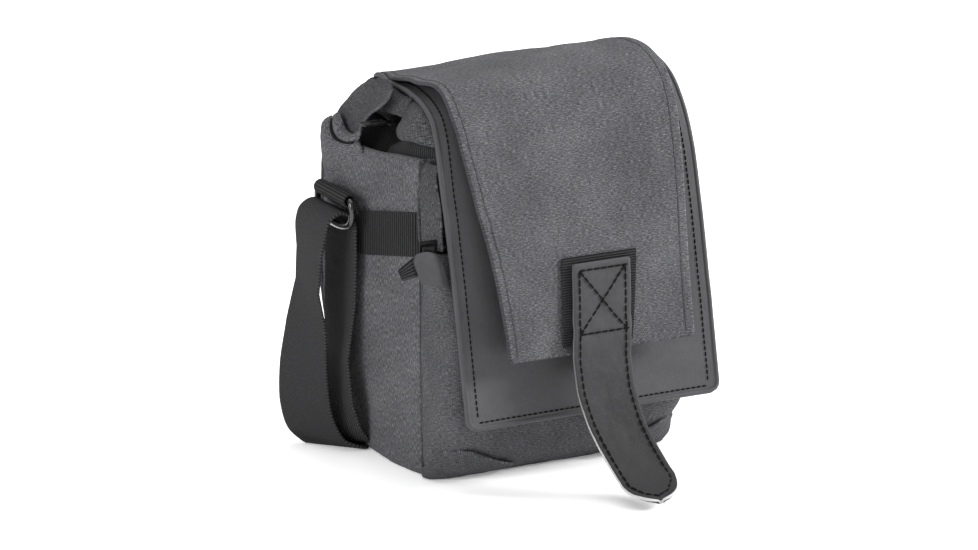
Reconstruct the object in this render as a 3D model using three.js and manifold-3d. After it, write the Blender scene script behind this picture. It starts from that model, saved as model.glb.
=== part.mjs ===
// Small camera shoulder bag in washed canvas with a leather under-flap.
// Millimetres, +Z up, front towards -Y, floor at z = 0, origin under the middle of the base.
import * as THREE from 'three';
import { mergeVertices } from 'three/addons/utils/BufferGeometryUtils.js';
import Module from 'manifold-3d';

const wasm = await Module();
wasm.setup();

// ---------- driving dimensions ----------
const HALF_WIDTH = 79.5;         // half the base's width, and of the front corners
const SIDE_BULGE = 15;          // how far the padded sides belly out above the base
const FRONT_WALL = -38;         // outer face of the main compartment's front wall
const REAR_WALL = 70;           // outer face of the back panel
const BASE_HEIGHT = 5.7;        // rolled bottom edge
const WALL_FOOT = 6;            // lowest edge of the upright walls
const SIDE_TOP = 184;
const BACK_TOP = 212;
const FRONT_TOP = 190;
const CANVAS = 2.4;             // double canvas with its lining
const WALL = 5;                 // canvas, foam and lining
const PAD = 8;                  // insert padding
const LEATHER = 2.2;
const FLAP_HALF = 82;           // leather under-flap
const FLAP_DRIFT = [6, 8];      // the flaps hang a little to the right, more at the hem
const WEBBING_HALF = 19;        // 38 mm shoulder webbing
const WEBBING = 1.8;
const BAND_HALF = 12.5;         // 25 mm side band
const BAND_STANDOFF = 1.5;      // from the side panel to the band's middle
const RING_WIRE = 2;            // radius of the D-ring's wire
const RING_X = 102;
const RING_Y = 28;
const RING_TOP = 158;
const ZIP_LEVEL = 198;          // top of the main zip's tape
const TAB_HALF = 19.2;
const TAB_X = 10;               // the tab sits with the flap's drift
const GAP = 0.3;

// ---------- materials ----------
const finish = (color, roughness, metalness = 0) =>
  new THREE.MeshStandardMaterial({ color, roughness, metalness });
const canvasGrey = finish(0x5f5e64, 0.95);
const leatherGrey = finish(0x4b4c4f, 0.6);
const tabLeather = finish(0x303335, 0.55);
const webbingBlack = finish(0x26272a, 0.9);
const bandBlack = finish(0x1f2023, 0.85);
const liningGrey = finish(0x3a3b3e, 0.9);
const boardBlack = finish(0x222222, 0.8);
const coilBlack = finish(0x151515, 0.5);
const blackMetal = finish(0x0d0d0e, 0.25, 0.8);

// ---------- helpers ----------
const v = (x, y, z) => new THREE.Vector3(x, y, z);
const X_AXIS = v(1, 0, 0);
const bag = new THREE.Group();

function add(name, geometry, material) {
  const mesh = new THREE.Mesh(geometry, material);
  mesh.name = name;
  bag.add(mesh);
  return mesh;
}

function signedVolume(points, triangles) {
  let six = 0;
  for (let i = 0; i < triangles.length; i += 3) {
    const [a, b, c] = [0, 1, 2].map((k) => points[triangles[i + k]]);
    six += a.dot(b.clone().cross(c));
  }
  return six / 6;
}

// Flattens a ring of points onto the two axes in which it is widest.
function flatten(ring) {
  const size = new THREE.Box3().setFromPoints(ring).getSize(v(0, 0, 0));
  const axes = ['x', 'y', 'z'].sort((a, b) => size[b] - size[a]).slice(0, 2);
  return ring.map((p) => new THREE.Vector2(p[axes[0]], p[axes[1]]));
}

// Closed skin through a row of equal rings; a loop joins its last ring to its first.
function skin(rings, loop = false) {
  const n = rings[0].length;
  const points = rings.flat();
  const triangles = [];
  const spans = loop ? rings.length : rings.length - 1;
  for (let r = 0; r < spans; r += 1) {
    const low = r * n;
    const high = ((r + 1) % rings.length) * n;
    for (let i = 0; i < n; i += 1) {
      const j = (i + 1) % n;
      triangles.push(low + i, low + j, high + j, low + i, high + j, high + i);
    }
  }
  if (!loop) {
    for (const end of [0, rings.length - 1]) {
      const flat = flatten(rings[end]);
      for (const face of THREE.ShapeUtils.triangulateShape(flat, [])) {
        triangles.push(...face.map((k) => end * n + k));
      }
    }
    fixCaps(points, triangles, spans * n * 6);
  }
  if (signedVolume(points, triangles) < 0) {
    for (let i = 0; i < triangles.length; i += 3) {
      [triangles[i], triangles[i + 1]] = [triangles[i + 1], triangles[i]];
    }
  }
  const geometry = new THREE.BufferGeometry();
  geometry.setAttribute('position', new THREE.Float32BufferAttribute(points.flatMap((p) => [p.x, p.y, p.z]), 3));
  geometry.setIndex(triangles);
  return geometry;
}

// Turns the cap triangles so that each edge runs against the wall next to it.
function fixCaps(points, triangles, firstCapIndex) {
  const wallEdges = new Set();
  for (let i = 0; i < firstCapIndex; i += 3) {
    for (let k = 0; k < 3; k += 1) wallEdges.add(`${triangles[i + k]}>${triangles[i + ((k + 1) % 3)]}`);
  }
  const count = (triangles.length - firstCapIndex) / 2;
  for (const start of [firstCapIndex, firstCapIndex + count]) {
    let same = 0;
    for (let i = start; i < start + count; i += 3) {
      for (let k = 0; k < 3; k += 1) {
        if (wallEdges.has(`${triangles[i + k]}>${triangles[i + ((k + 1) % 3)]}`)) same += 1;
      }
    }
    if (same > 0) {
      for (let i = start; i < start + count; i += 3) {
        [triangles[i], triangles[i + 1]] = [triangles[i + 1], triangles[i]];
      }
    }
  }
}

// Strip of flat material along centres, with its width along the matching across vectors.
function ribbon(centres, across, halfWidth, thickness) {
  const widthAt = typeof halfWidth === 'function' ? halfWidth : () => halfWidth;
  const rings = centres.map((c, i) => {
    const before = centres[Math.max(i - 1, 0)];
    const after = centres[Math.min(i + 1, centres.length - 1)];
    const side = across[i].clone().normalize();
    const normal = after.clone().sub(before).cross(side).normalize();
    const reach = side.multiplyScalar(widthAt(i / (centres.length - 1)));
    const half = normal.multiplyScalar(thickness / 2);
    return [
      c.clone().add(reach).add(half),
      c.clone().sub(reach).add(half),
      c.clone().sub(reach).sub(half),
      c.clone().add(reach).sub(half),
    ];
  });
  return skin(rings);
}

function sample(points, perSpan) {
  const curve = new THREE.CatmullRomCurve3(points, false, 'centripetal');
  const steps = (points.length - 1) * perSpan;
  return Array.from({ length: steps + 1 }, (_, i) => curve.getPoint(i / steps));
}

// Panel whose side view is a line of [y, z] points and whose width runs along X.
function bentPanel(outline, halfWidth, thickness, perSpan = 3, [fromX, toX] = [0, 0]) {
  const centres = sample(outline.map(([y, z]) => v(0, y, z)), perSpan);
  centres.forEach((c, i) => c.setX(fromX + ((toX - fromX) * i) / (centres.length - 1)));
  return ribbon(centres, centres.map(() => X_AXIS), halfWidth, thickness);
}

// The part of a side-view line between two heights, moved outwards by a distance.
function besideProfile(outline, top, bottom, offset, steps = 8) {
  const curve = new THREE.CatmullRomCurve3(outline.map(([y, z]) => v(0, y, z)), false, 'centripetal');
  const at = (height) => {
    let low = 0.3;
    let high = 1;
    for (let i = 0; i < 40; i += 1) {
      const middle = (low + high) / 2;
      if (curve.getPoint(middle).z > height) low = middle;
      else high = middle;
    }
    return low;
  };
  const from = at(top);
  const to = at(bottom);
  return Array.from({ length: steps + 1 }, (_, i) => {
    const t = from + ((to - from) * i) / steps;
    const outwards = X_AXIS.clone().cross(curve.getTangent(t)).normalize();
    return curve.getPoint(t).addScaledVector(outwards, -offset);
  });
}

function stripOn(points, halfWidth, thickness) {
  points.forEach((p) => p.setX(TAB_X));
  return ribbon(points, points.map(() => X_AXIS), halfWidth, thickness);
}

function box(low, high) {
  const size = high.clone().sub(low);
  const centre = low.clone().add(high).multiplyScalar(0.5);
  return new THREE.BoxGeometry(size.x, size.y, size.z).translate(centre.x, centre.y, centre.z);
}

// Side-view polygon of [y, z] points, extruded across X from -half to +half.
function slabAcross(outline, half) {
  const shape = new THREE.Shape(outline.map(([y, z]) => new THREE.Vector2(y, z)));
  const geometry = new THREE.ExtrudeGeometry(shape, { depth: 2 * half, bevelEnabled: false });
  const toSideView = new THREE.Matrix4().makeBasis(v(0, 1, 0), v(0, 0, 1), X_AXIS);
  return geometry.applyMatrix4(toSideView).translate(-half, 0, 0);
}

function solidOf(geometry) {
  const bare = geometry.clone();
  bare.deleteAttribute('normal');
  bare.deleteAttribute('uv');
  const merged = mergeVertices(bare, 1e-4);
  return new wasm.Manifold(new wasm.Mesh({
    numProp: 3,
    vertProperties: new Float32Array(merged.attributes.position.array),
    triVerts: new Uint32Array(merged.index.array),
  }));
}

function geometryOf(solid) {
  const mesh = solid.getMesh();
  const geometry = new THREE.BufferGeometry();
  geometry.setAttribute('position', new THREE.Float32BufferAttribute(mesh.vertProperties, 3));
  geometry.setIndex([...mesh.triVerts]);
  return geometry;
}

// ---------- base ----------
function roundedPlan(halfX, front, rear, frontRadius, rearRadius, z, arcSteps = 5) {
  const corners = [[halfX, rear, 0], [-halfX, rear, 90], [-halfX, front, 180], [halfX, front, 270]];
  return corners.flatMap(([x, y, turn]) => Array.from({ length: arcSteps + 1 }, (_, i) => {
    const angle = THREE.MathUtils.degToRad(turn + (90 * i) / arcSteps);
    const radius = y === rear ? rearRadius : frontRadius;
    const centreX = x - Math.sign(x) * radius;
    const centreY = y === rear ? y - radius : y + radius;
    return v(centreX + radius * Math.cos(angle), centreY + radius * Math.sin(angle), z);
  }));
}

const baseSteps = [[0, 4.5], [2.2, 2], [BASE_HEIGHT, 0.5]];
add('base_panel', skin(baseSteps.map(([z, inset]) =>
  roundedPlan(HALF_WIDTH - inset, FRONT_WALL - 8 + inset, REAR_WALL - inset - 2, 7, 27, z))), canvasGrey);
add('base_board', skin([6, 8].map((z) => roundedPlan(72.5, FRONT_WALL + 6, REAR_WALL - 8, 6, 6, z, 2))), boardBlack);
const padFoot = 8.3;
add('floor_pad', box(v(-72.5, FRONT_WALL + 5, padFoot), v(72.5, REAR_WALL - 7, padFoot + PAD - 2)), liningGrey);

// ---------- upright walls ----------
const riseOf = (z) => THREE.MathUtils.smoothstep(z, WALL_FOOT, 95);
const sideReach = (y, z) =>
  HALF_WIDTH + SIDE_BULGE * riseOf(z) * Math.sin(0.62 * Math.PI * ((y - FRONT_WALL) / (REAR_WALL - FRONT_WALL)));

const wallLevels = [WALL_FOOT, 28, 50, 72, 95, SIDE_TOP];
const sideFront = FRONT_WALL + 4 + GAP;
const sideRear = REAR_WALL - 6 - GAP;

function sidePanel(sign) {
  const stations = Array.from({ length: 9 }, (_, i) => sideFront + ((sideRear - sideFront) * i) / 8);
  return skin(wallLevels.map((z) => {
    const outside = stations.map((y) => v(sign * sideReach(y, z), y, z));
    const inside = stations.map((y) => v(sign * (sideReach(y, z) - WALL), y, z)).reverse();
    return [...outside, ...inside];
  }));
}
add('side_panel_left', sidePanel(-1), canvasGrey);
add('side_panel_right', sidePanel(1), canvasGrey);

const backEdge = wallLevels.slice(0, 5).map((z) => [sideReach(sideRear, z), z]);
const backOutline = [...backEdge, [89, 168], [80.5, 187], [70.5, 202], [60, BACK_TOP]];
const backShape = new THREE.Shape([
  ...backOutline.map(([x, z]) => new THREE.Vector2(x, z)),
  ...backOutline.map(([x, z]) => new THREE.Vector2(-x, z)).reverse(),
]);
add('back_panel', new THREE.ExtrudeGeometry(backShape, { depth: 6, bevelEnabled: false })
  .rotateX(Math.PI / 2).translate(0, REAR_WALL, 0), canvasGrey);
add('front_panel', box(v(-79.2, FRONT_WALL, WALL_FOOT), v(79.2, FRONT_WALL + 4, FRONT_TOP)), canvasGrey);

// ---------- padded insert ----------
const insertFoot = padFoot + PAD - 2 + GAP;
const insertFront = FRONT_WALL + 5;
const insertRear = REAR_WALL - 7;
add('pad_back', box(v(-71.5, insertRear - PAD, insertFoot), v(71.5, insertRear, 176)), liningGrey);
add('pad_front', box(v(-71.5, insertFront, insertFoot), v(71.5, insertFront + PAD, 172)), liningGrey);
for (const [side, low, high] of [['left', -73, -65.5], ['right', 65.5, 73]]) {
  const front = insertFront + PAD + GAP;
  const rear = insertRear - PAD - GAP;
  add(`pad_${side}`, box(v(low, front, insertFoot), v(high, rear, 166)), liningGrey);
}
add('divider', box(v(17, insertFront + PAD + 1, insertFoot), v(23, insertRear - PAD - 1, 122)), liningGrey);

// ---------- top closure and its zip ----------
for (const [side, sign] of [['left', -1], ['right', 1]]) {
  const rim = [[0, 184.4], [0, 189], [-4.5, 192], [-9.5, 189.5], [-13, 182], [-11.4, 181.2], [-8, 187.6],
    [-4.5, 189.4], [-1.8, 187.6], [-1.8, 184.4]];
  const rings = [sideFront, 0, 30, sideRear].map((y) => {
    const reach = sideReach(y, SIDE_TOP);
    return rim.map(([inward, z]) => v(sign * (reach + inward), y, z));
  });
  add(`collar_${side}`, skin(rings), canvasGrey);
}
add('top_panel_front', bentPanel([[-36, 191.6], [-33, 196], [-20, ZIP_LEVEL + 2.4], [2, ZIP_LEVEL + 2.4]], 69.5, 2),
  canvasGrey);
add('top_panel_rear', bentPanel([[62, ZIP_LEVEL + 6], [42, ZIP_LEVEL + 3.6], [16, ZIP_LEVEL + 2.4]], 69.5, 2),
  canvasGrey);
add('main_zip_tape', box(v(-70.5, -8, ZIP_LEVEL - 0.8), v(70.5, 26, ZIP_LEVEL)), bandBlack);
add('main_zip_chain', box(v(-69.5, 6, ZIP_LEVEL + GAP), v(69.5, 12, ZIP_LEVEL + 2.3)), coilBlack);
add('main_zip_slider', box(v(-77.5, 4, ZIP_LEVEL + 2.7), v(-65.5, 14, ZIP_LEVEL + 6.7)), blackMetal);
add('main_zip_pull', box(v(-96.5, 5, ZIP_LEVEL + 3.8), v(-78.7, 13, ZIP_LEVEL + 5.4)), blackMetal);

// ---------- front pocket ----------
const pocketFace = [[-47, WALL_FOOT], [-57, 14], [-65, 25], [-73, 42], [-75, 60], [-71.5, 90], [-63.5, 120],
  [-56, 138]];
const pocketBack = FRONT_WALL - GAP;
const pocketOuter = slabAcross([...pocketFace, [pocketBack, 138], [pocketBack, WALL_FOOT]], 77.5);
const pocketHollow = slabAcross([
  ...pocketFace.slice(1).map(([y, z]) => [y + 2.6, z]),
  [-53.4, 150], [-30, 150], [-30, 9], [-49, 9],
], 74.9);
add('pocket_shell', geometryOf(solidOf(pocketOuter).subtract(solidOf(pocketHollow))), canvasGrey);
add('pocket_top_panel', bentPanel([[-52, 149], [-48.5, 165], [-43.5, 178], [-39.6, FRONT_TOP]], 77.5, CANVAS), canvasGrey);
const pocketZipY = -50.5;
add('pocket_zip_tape', box(v(-75.5, pocketZipY - 0.5, 138.6), v(75.5, pocketZipY + 0.3, 148)), bandBlack);
add('pocket_zip_chain', box(v(-75.5, pocketZipY - 3, 140.5), v(75.5, pocketZipY - 0.8, 146.5)), coilBlack);
add('pocket_zip_slider', box(v(-89.5, pocketZipY - 8, 139), v(-78.5, pocketZipY - 3.3, 148)), blackMetal);
add('pocket_zip_pull', ribbon(
  sample([v(-85.2, -59.9, 142), v(-85.2, -62.4, 133), v(-85.2, -66.3, 120)], 3),
  Array.from({ length: 7 }, () => X_AXIS), 8.8, 2), tabLeather);

// ---------- flaps ----------
const leatherLine = [[70.5, 213.4], [65, 215], [46, 218], [20, 227], [0, 231], [-20, 230], [-36, 221.6],
  [-46, 207], [-54, 184], [-63, 150], [-72, 107], [-79.5, 67], [-85, 42]];
const canvasLine = [[66, 217.8], [46, 221.8], [20, 231], [0, 235], [-20, 234.2], [-38, 226.4], [-50, 211],
  [-60.5, 186], [-73, 152], [-84.5, 112], [-92.5, 77]];
add('flap_hem', box(v(-56, REAR_WALL + GAP, 188), v(68, REAR_WALL + 2.3, 211.4)), canvasGrey);
const flapHalf = (t) => 68 + (FLAP_HALF - 68) * THREE.MathUtils.smoothstep(t, 0.05, 0.55);
const canvasHalf = (t) => 67 + 5 * THREE.MathUtils.smoothstep(t, 0, 0.3) - 11 * THREE.MathUtils.smoothstep(t, 0.4, 1);
add('leather_flap', bentPanel(leatherLine, flapHalf, LEATHER, 2, FLAP_DRIFT), leatherGrey);
add('canvas_flap', bentPanel(canvasLine, canvasHalf, CANVAS, 2, FLAP_DRIFT), canvasGrey);

// ---------- pull tab on the canvas flap ----------
add('tab_patch', stripOn(besideProfile(canvasLine, 133, 84, CANVAS / 2 + 0.9), 24, 1.1), bandBlack);
const tabOffset = CANVAS / 2 + 0.9 + 0.55 + GAP + 1.3;
add('tab_base', stripOn(besideProfile(canvasLine, 129, 94, tabOffset), TAB_HALF, 2.4), tabLeather);
const tailLine = [[-93.6, 93], [-97, 77], [-100.6, 58], [-107.5, 40], [-118.5, 25], [-133.5, 14], [-151, 8.6]];
const tailHalf = (t) => TAB_HALF * Math.sqrt(Math.max(0.06, 1 - Math.max(0, (t - 0.84) / 0.17) ** 2));
add('pull_tab', bentPanel(tailLine, tailHalf, 2.4, 4, [TAB_X, TAB_X]), tabLeather);

// ---------- hook-and-loop closure under the leather flap ----------
add('loop_patch', stripOn(besideProfile(pocketFace.slice().reverse(), 66, 48, 0.8, 3), 30, 0.8), bandBlack);
add('hook_patch', stripOn(besideProfile(leatherLine, 66, 48, -LEATHER / 2 - 0.7, 3), 30, 0.8), bandBlack);

// ---------- side bands, ring tabs and D-rings ----------
function sideBand(sign) {
  const stations = Array.from({ length: 11 }, (_, i) => sideFront + ((sideRear - sideFront) * i) / 10);
  const heightAt = (y) => 127 + 19 * (1 - (y - sideFront) / (sideRear - sideFront));
  const centres = stations.map((y) => v(sign * (sideReach(y, 140) + BAND_STANDOFF), y, heightAt(y)));
  return ribbon(centres, centres.map(() => v(0, 0.19, 1)), BAND_HALF, 1.2);
}

function ringTab(sign) {
  const outer = 4.5;
  const shape = new THREE.Shape();
  shape.moveTo(-5.4, -8);
  shape.lineTo(-2.4, -8);
  shape.absarc(0, 0, outer, THREE.MathUtils.degToRad(-115), THREE.MathUtils.degToRad(178), false);
  const hole = new THREE.Path();
  hole.absarc(0, 0, RING_WIRE + 0.5, 0, 2 * Math.PI, true);
  shape.holes.push(hole);
  const geometry = new THREE.ExtrudeGeometry(shape, { depth: 38, bevelEnabled: false, curveSegments: 12 });
  const placed = new THREE.Matrix4().makeBasis(v(-1, 0, 0), v(0, 0, 1), v(0, 1, 0));
  geometry.applyMatrix4(placed).translate(-RING_X, RING_Y - 19, RING_TOP);
  if (sign < 0) return geometry;
  return geometry.applyMatrix4(new THREE.Matrix4().makeRotationZ(Math.PI)).translate(0, 2 * RING_Y, 0);
}

// D-shaped wire: straight bar on top, round bow hanging below it.
function dRing(sign) {
  const halfBar = 22.5;
  const drop = 18;
  const bow = Array.from({ length: 13 }, (_, i) => {
    const angle = (Math.PI * i) / 12;
    return v(0, halfBar * Math.cos(angle), -4 - (drop - 4) * Math.sqrt(Math.sin(angle)));
  });
  const path = [v(0, -halfBar, -2), v(0, -halfBar + 2.5, 0), v(0, 0, 0), v(0, halfBar - 2.5, 0), v(0, halfBar, -2), ...bow];
  const rings = path.map((p, i) => {
    const before = path[(i + path.length - 1) % path.length];
    const after = path[(i + 1) % path.length];
    const along = after.clone().sub(before).normalize();
    const inPlane = along.clone().cross(X_AXIS).normalize();
    return Array.from({ length: 8 }, (_, k) => {
      const angle = (2 * Math.PI * k) / 8;
      return p.clone()
        .addScaledVector(X_AXIS, RING_WIRE * Math.cos(angle))
        .addScaledVector(inPlane, RING_WIRE * Math.sin(angle))
        .add(v(sign * RING_X, RING_Y, RING_TOP));
    });
  });
  return skin(rings, true);
}

for (const [side, sign] of [['left', -1], ['right', 1]]) {
  add(`side_band_${side}`, sideBand(sign), bandBlack);
  add(`ring_tab_${side}`, ringTab(sign), bandBlack);
  add(`d_ring_${side}`, dRing(sign), blackMetal);
}

// ---------- shoulder strap: 38 mm webbing, doubled between the left ring and its slider ----------
// Each row is a centre and the direction of the webbing's width. The route starts at the slider's bar.
const SLIDER = v(113.5, 44, 66);
const ALONG_Y = v(0, 1, 0);
const innerLeg = [
  [v(108.9, 44, 68), ALONG_Y],
  [v(108.9, 44, 52), ALONG_Y],
  [v(108.5, 46, 34), ALONG_Y],
  [v(107, 50, 18), ALONG_Y],
  [v(100.5, 58, 6.5), v(0.3, 0.95, 0)],
  [v(89.5, 68, 3.6), v(0.5, 0.87, 0)],
  [v(71.5, 82, 3.6), v(0.42, 0.91, 0)],
  [v(37.5, 96, 3.6), v(0.2, 0.98, 0)],
  [v(0, 101, 3.6), ALONG_Y],
  [v(-37.5, 95, 3.6), v(-0.2, 0.98, 0)],
  [v(-72.5, 84, 3.6), v(-0.45, 0.89, 0)],
  [v(-90.5, 68, 3.6), v(-0.45, 0.89, 0)],
  [v(-96.5, 49, 9), v(-0.25, 0.97, 0)],
  [v(-98.5, 40, 28), v(-0.1, 1, 0)],
  [v(-98.7, 34, 60), v(0.12, 0.99, 0)],
  [v(-98.5, 29, 95), ALONG_Y],
];
const ringWrap = [
  [v(-98.3, 28, 118), ALONG_Y],
  [v(-98.2, 28, 134), ALONG_Y],
  [v(-98.5, 28, 143), ALONG_Y],
  [v(-101.3, 28, 148.8), ALONG_Y],
  [v(-107.5, 28.5, 151), ALONG_Y],
  [v(-114, 29.5, 147), ALONG_Y],
  [v(-116.1, 31, 138), ALONG_Y],
];
const outerLeg = [
  [v(-116.5, 33, 122), v(0.1, 1, 0)],
  [v(-117, 36, 102), v(0.22, 0.97, 0)],
  [v(-117.5, 40, 78), v(0.05, 1, 0)],
  [v(-116.5, 43, 48), v(-0.15, 0.99, 0)],
  [v(-113.5, 46, 20), v(-0.28, 0.96, 0)],
  [v(-107.5, 50, 6), v(-0.32, 0.95, 0)],
  [v(-97.5, 60, 1.2), v(-0.45, 0.89, 0)],
  [v(-76.5, 80, 1.2), v(-0.48, 0.87, 0)],
  [v(-40.5, 94, 1.2), v(-0.2, 0.98, 0)],
  [v(0, 101, 1.2), ALONG_Y],
  [v(40.5, 95, 1.2), v(0.2, 0.98, 0)],
  [v(75.5, 80, 1.2), v(0.42, 0.91, 0)],
  [v(98.5, 64, 1.2), v(0.45, 0.89, 0)],
  [v(108.5, 54, 6), v(0.2, 0.98, 0)],
  [v(113.1, 47.5, 26), ALONG_Y],
  [v(114.1, 44, 50), ALONG_Y],
  [v(114.1, 44, 82), ALONG_Y],
  [v(109.5, 40, 97), ALONG_Y],
  [v(105.1, 34, 112), ALONG_Y],
  [v(109, 30, 130), ALONG_Y],
  [v(111.5, 28.5, 143), ALONG_Y],
  [v(107.5, 28, 150.5), ALONG_Y],
  [v(101.3, 28, 148.8), ALONG_Y],
  [v(98.5, 28, 143), ALONG_Y],
  [v(98.4, 28, 134), ALONG_Y],
  [v(101.1, 31, 118), ALONG_Y],
  [v(102.4, 33, 108), ALONG_Y],
];
const strapRows = [...innerLeg, ...ringWrap, ...outerLeg];
const strapCentres = sample(strapRows.map(([centre]) => centre), 2);
const strapAcross = sample(strapRows.map(([, across]) => across), 2);
add('strap_webbing', ribbon(strapCentres, strapAcross, WEBBING_HALF, WEBBING), webbingBlack);

// Three-bar slider: the middle bar behind the running webbing, the outer bars in front of it.
function slider() {
  const railGap = WEBBING_HALF + 1.6;
  const bar = (x, z) => box(
    v(SLIDER.x + x - 1, SLIDER.y - railGap - 1, z - 1.5), v(SLIDER.x + x + 1, SLIDER.y + railGap + 1, z + 1.5));
  const rail = (side) => {
    const y = SLIDER.y + side * (railGap + 1.2);
    return box(v(SLIDER.x - 3, y - 1.2, SLIDER.z - 13), v(SLIDER.x + 4, y + 1.2, SLIDER.z + 13));
  };
  const pieces = [bar(3, SLIDER.z - 11), bar(3, SLIDER.z + 11), bar(-2, SLIDER.z), rail(-1), rail(1)];
  return geometryOf(pieces.map(solidOf).reduce((whole, piece) => whole.add(piece)));
}
add('strap_slider', slider(), blackMetal);

export default bag;
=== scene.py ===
# %% [markdown]
# # A small canvas camera bag
# The bag is a padded canvas box with a front pocket, a leather flap, a canvas flap over it and a
# webbing strap on two D-rings. The frame gives every piece its place; this lesson makes the cloth,
# the hide and the thread around it.
# %% Load the frame
import math
import bpy
import bmesh
import numpy as np
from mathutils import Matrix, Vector, noise


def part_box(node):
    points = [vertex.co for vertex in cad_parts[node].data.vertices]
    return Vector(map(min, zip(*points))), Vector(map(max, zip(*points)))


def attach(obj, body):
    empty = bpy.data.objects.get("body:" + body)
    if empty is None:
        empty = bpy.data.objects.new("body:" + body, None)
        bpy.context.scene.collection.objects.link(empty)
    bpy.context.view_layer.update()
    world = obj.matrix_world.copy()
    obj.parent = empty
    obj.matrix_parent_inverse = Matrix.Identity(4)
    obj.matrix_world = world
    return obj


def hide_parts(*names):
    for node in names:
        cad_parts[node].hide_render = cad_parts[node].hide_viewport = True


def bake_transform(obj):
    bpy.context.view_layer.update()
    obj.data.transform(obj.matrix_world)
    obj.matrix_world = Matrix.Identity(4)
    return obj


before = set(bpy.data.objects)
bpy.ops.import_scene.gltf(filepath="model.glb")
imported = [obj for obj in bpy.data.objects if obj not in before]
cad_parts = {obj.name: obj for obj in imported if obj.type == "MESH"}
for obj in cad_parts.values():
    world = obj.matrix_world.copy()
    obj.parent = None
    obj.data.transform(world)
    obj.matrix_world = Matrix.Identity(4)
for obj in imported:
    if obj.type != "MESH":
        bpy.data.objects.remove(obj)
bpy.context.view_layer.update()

# %% [markdown]
# ## Standing point
# A small bag looks right from a long way off with a long lens: its edges stay almost parallel.
# The lens is aimed at the middle of the front and tilted down a little.
# %% Camera
MM = 0.001
eye = Vector((-1.3770, -2.5607, 0.9630))
aim = Vector((-0.0266, -0.0209, 0.1109))
lens = bpy.data.cameras.new("bag_camera")
lens.lens = 189.94
lens.sensor_width = 36.0
lens.clip_end = 20.0


def add_object(name, data):
    made = bpy.data.objects.new(name, data)
    bpy.context.collection.objects.link(made)
    return made


def aimed(thing, place, target):
    """Puts a camera or a lamp somewhere and turns it to face a target."""
    thing.location = place
    thing.rotation_euler = (target - place).to_track_quat("-Z", "Y").to_euler()
    return thing


camera = aimed(add_object("bag_camera", lens), eye, aim)
bpy.context.scene.camera = camera
print("camera stands", round((aim - eye).length, 3), "m from its aim")

# %% [markdown]
# ## Helpers for cloth
# Cloth and hide are thin sheets with rounded rims. A sheet is drawn as a few guide curves, a smooth
# skin is stretched through them, and the skin is given its thickness. Each point also remembers its
# place on the flat cloth in metres, so a weave follows the sheet round every bend.
# %% Curves
def travelled(line):
    """How far along the line each of its points is."""
    return np.concatenate([[0], np.cumsum(np.linalg.norm(np.diff(line, axis=0), axis=1))])


def length_of(line):
    return float(np.linalg.norm(np.diff(line, axis=0), axis=1).sum())


def sample(at, along, values):
    """Each column of values, read off at one or more distances along a line."""
    return np.stack([np.interp(at, along, values[:, k]) for k in range(values.shape[1])], -1)


def smooth_line(points, count):
    """A soft curve through points in millimetres, as evenly spaced points in metres."""
    p = np.array(points, float) * MM
    if len(p) == 2:
        return p[0] + (p[1] - p[0]) * np.linspace(0, 1, count)[:, None]
    p = np.vstack([2 * p[0] - p[1], p, 2 * p[-1] - p[-2]])
    fine = []
    for a, b, c, d in zip(p, p[1:], p[2:], p[3:]):
        t0, t1 = 0.0, max(np.linalg.norm(b - a), 1e-9) ** 0.5
        t2 = t1 + max(np.linalg.norm(c - b), 1e-9) ** 0.5
        t3 = t2 + max(np.linalg.norm(d - c), 1e-9) ** 0.5
        t = np.linspace(t1, t2, 16, endpoint=False)[:, None]
        ab = (t1 - t) / (t1 - t0) * a + (t - t0) / (t1 - t0) * b
        bc = (t2 - t) / (t2 - t1) * b + (t - t1) / (t2 - t1) * c
        cd = (t3 - t) / (t3 - t2) * c + (t - t2) / (t3 - t2) * d
        abc = (t2 - t) / (t2 - t0) * ab + (t - t0) / (t2 - t0) * bc
        bcd = (t3 - t) / (t3 - t1) * bc + (t - t1) / (t3 - t1) * cd
        fine.append((t2 - t) / (t2 - t1) * abc + (t - t1) / (t2 - t1) * bcd)
    return even(np.vstack(fine + [p[-2][None]]), count)


def even(line, count):
    """The same line with its points evenly spaced."""
    along = travelled(line)
    return sample(np.linspace(0, along[-1], count), along, line)


def skin(curves, rows, columns):
    """A grid stretched smoothly through guide curves."""
    guides = [smooth_line(curve, columns) for curve in curves]
    return np.stack([smooth_line([g[i] / MM for g in guides], rows) for i in range(columns)], 1)


def facing(grid):
    """Unit normals of a grid."""
    n = np.cross(np.gradient(grid, axis=0), np.gradient(grid, axis=1))
    return n / (np.linalg.norm(n, axis=2, keepdims=True) + 1e-12)


def crumple(grid, height, size, seed):
    """Soft uneven swells, height in millimetres and size the distance between them."""
    lift = np.array([[noise.fractal(Vector(p) / (size * MM) + Vector((seed, 0, 0)), 0.8, 2.1, 3) for p in row]
                     for row in grid])
    return grid + facing(grid) * (lift * height * MM)[:, :, None]


def sided(points, sign):
    """The same points on the left (-1) or the right (1) of the bag."""
    return [(sign * x, y, z) for x, y, z in points]


print("curve helpers ready")

# %% Sheets
def make_mesh(name, points, faces, looks, look_of=None, cloth=None):
    mesh = bpy.data.meshes.new(name)
    mesh.from_pydata([tuple(p) for p in points], [], faces)
    for look in looks:
        mesh.materials.append(look)
    if look_of is not None:
        mesh.polygons.foreach_set("material_index", look_of)
    if cloth is not None:
        place = mesh.attributes.new("cloth", "FLOAT_VECTOR", "POINT")
        place.data.foreach_set("vector", np.array(cloth, np.float32).ravel())
    mesh.validate()
    solid = bmesh.new()
    solid.from_mesh(mesh)
    bmesh.ops.recalc_face_normals(solid, faces=solid.faces)
    solid.to_mesh(mesh)
    solid.free()
    mesh.shade_smooth()
    return add_object(name, mesh)


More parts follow.
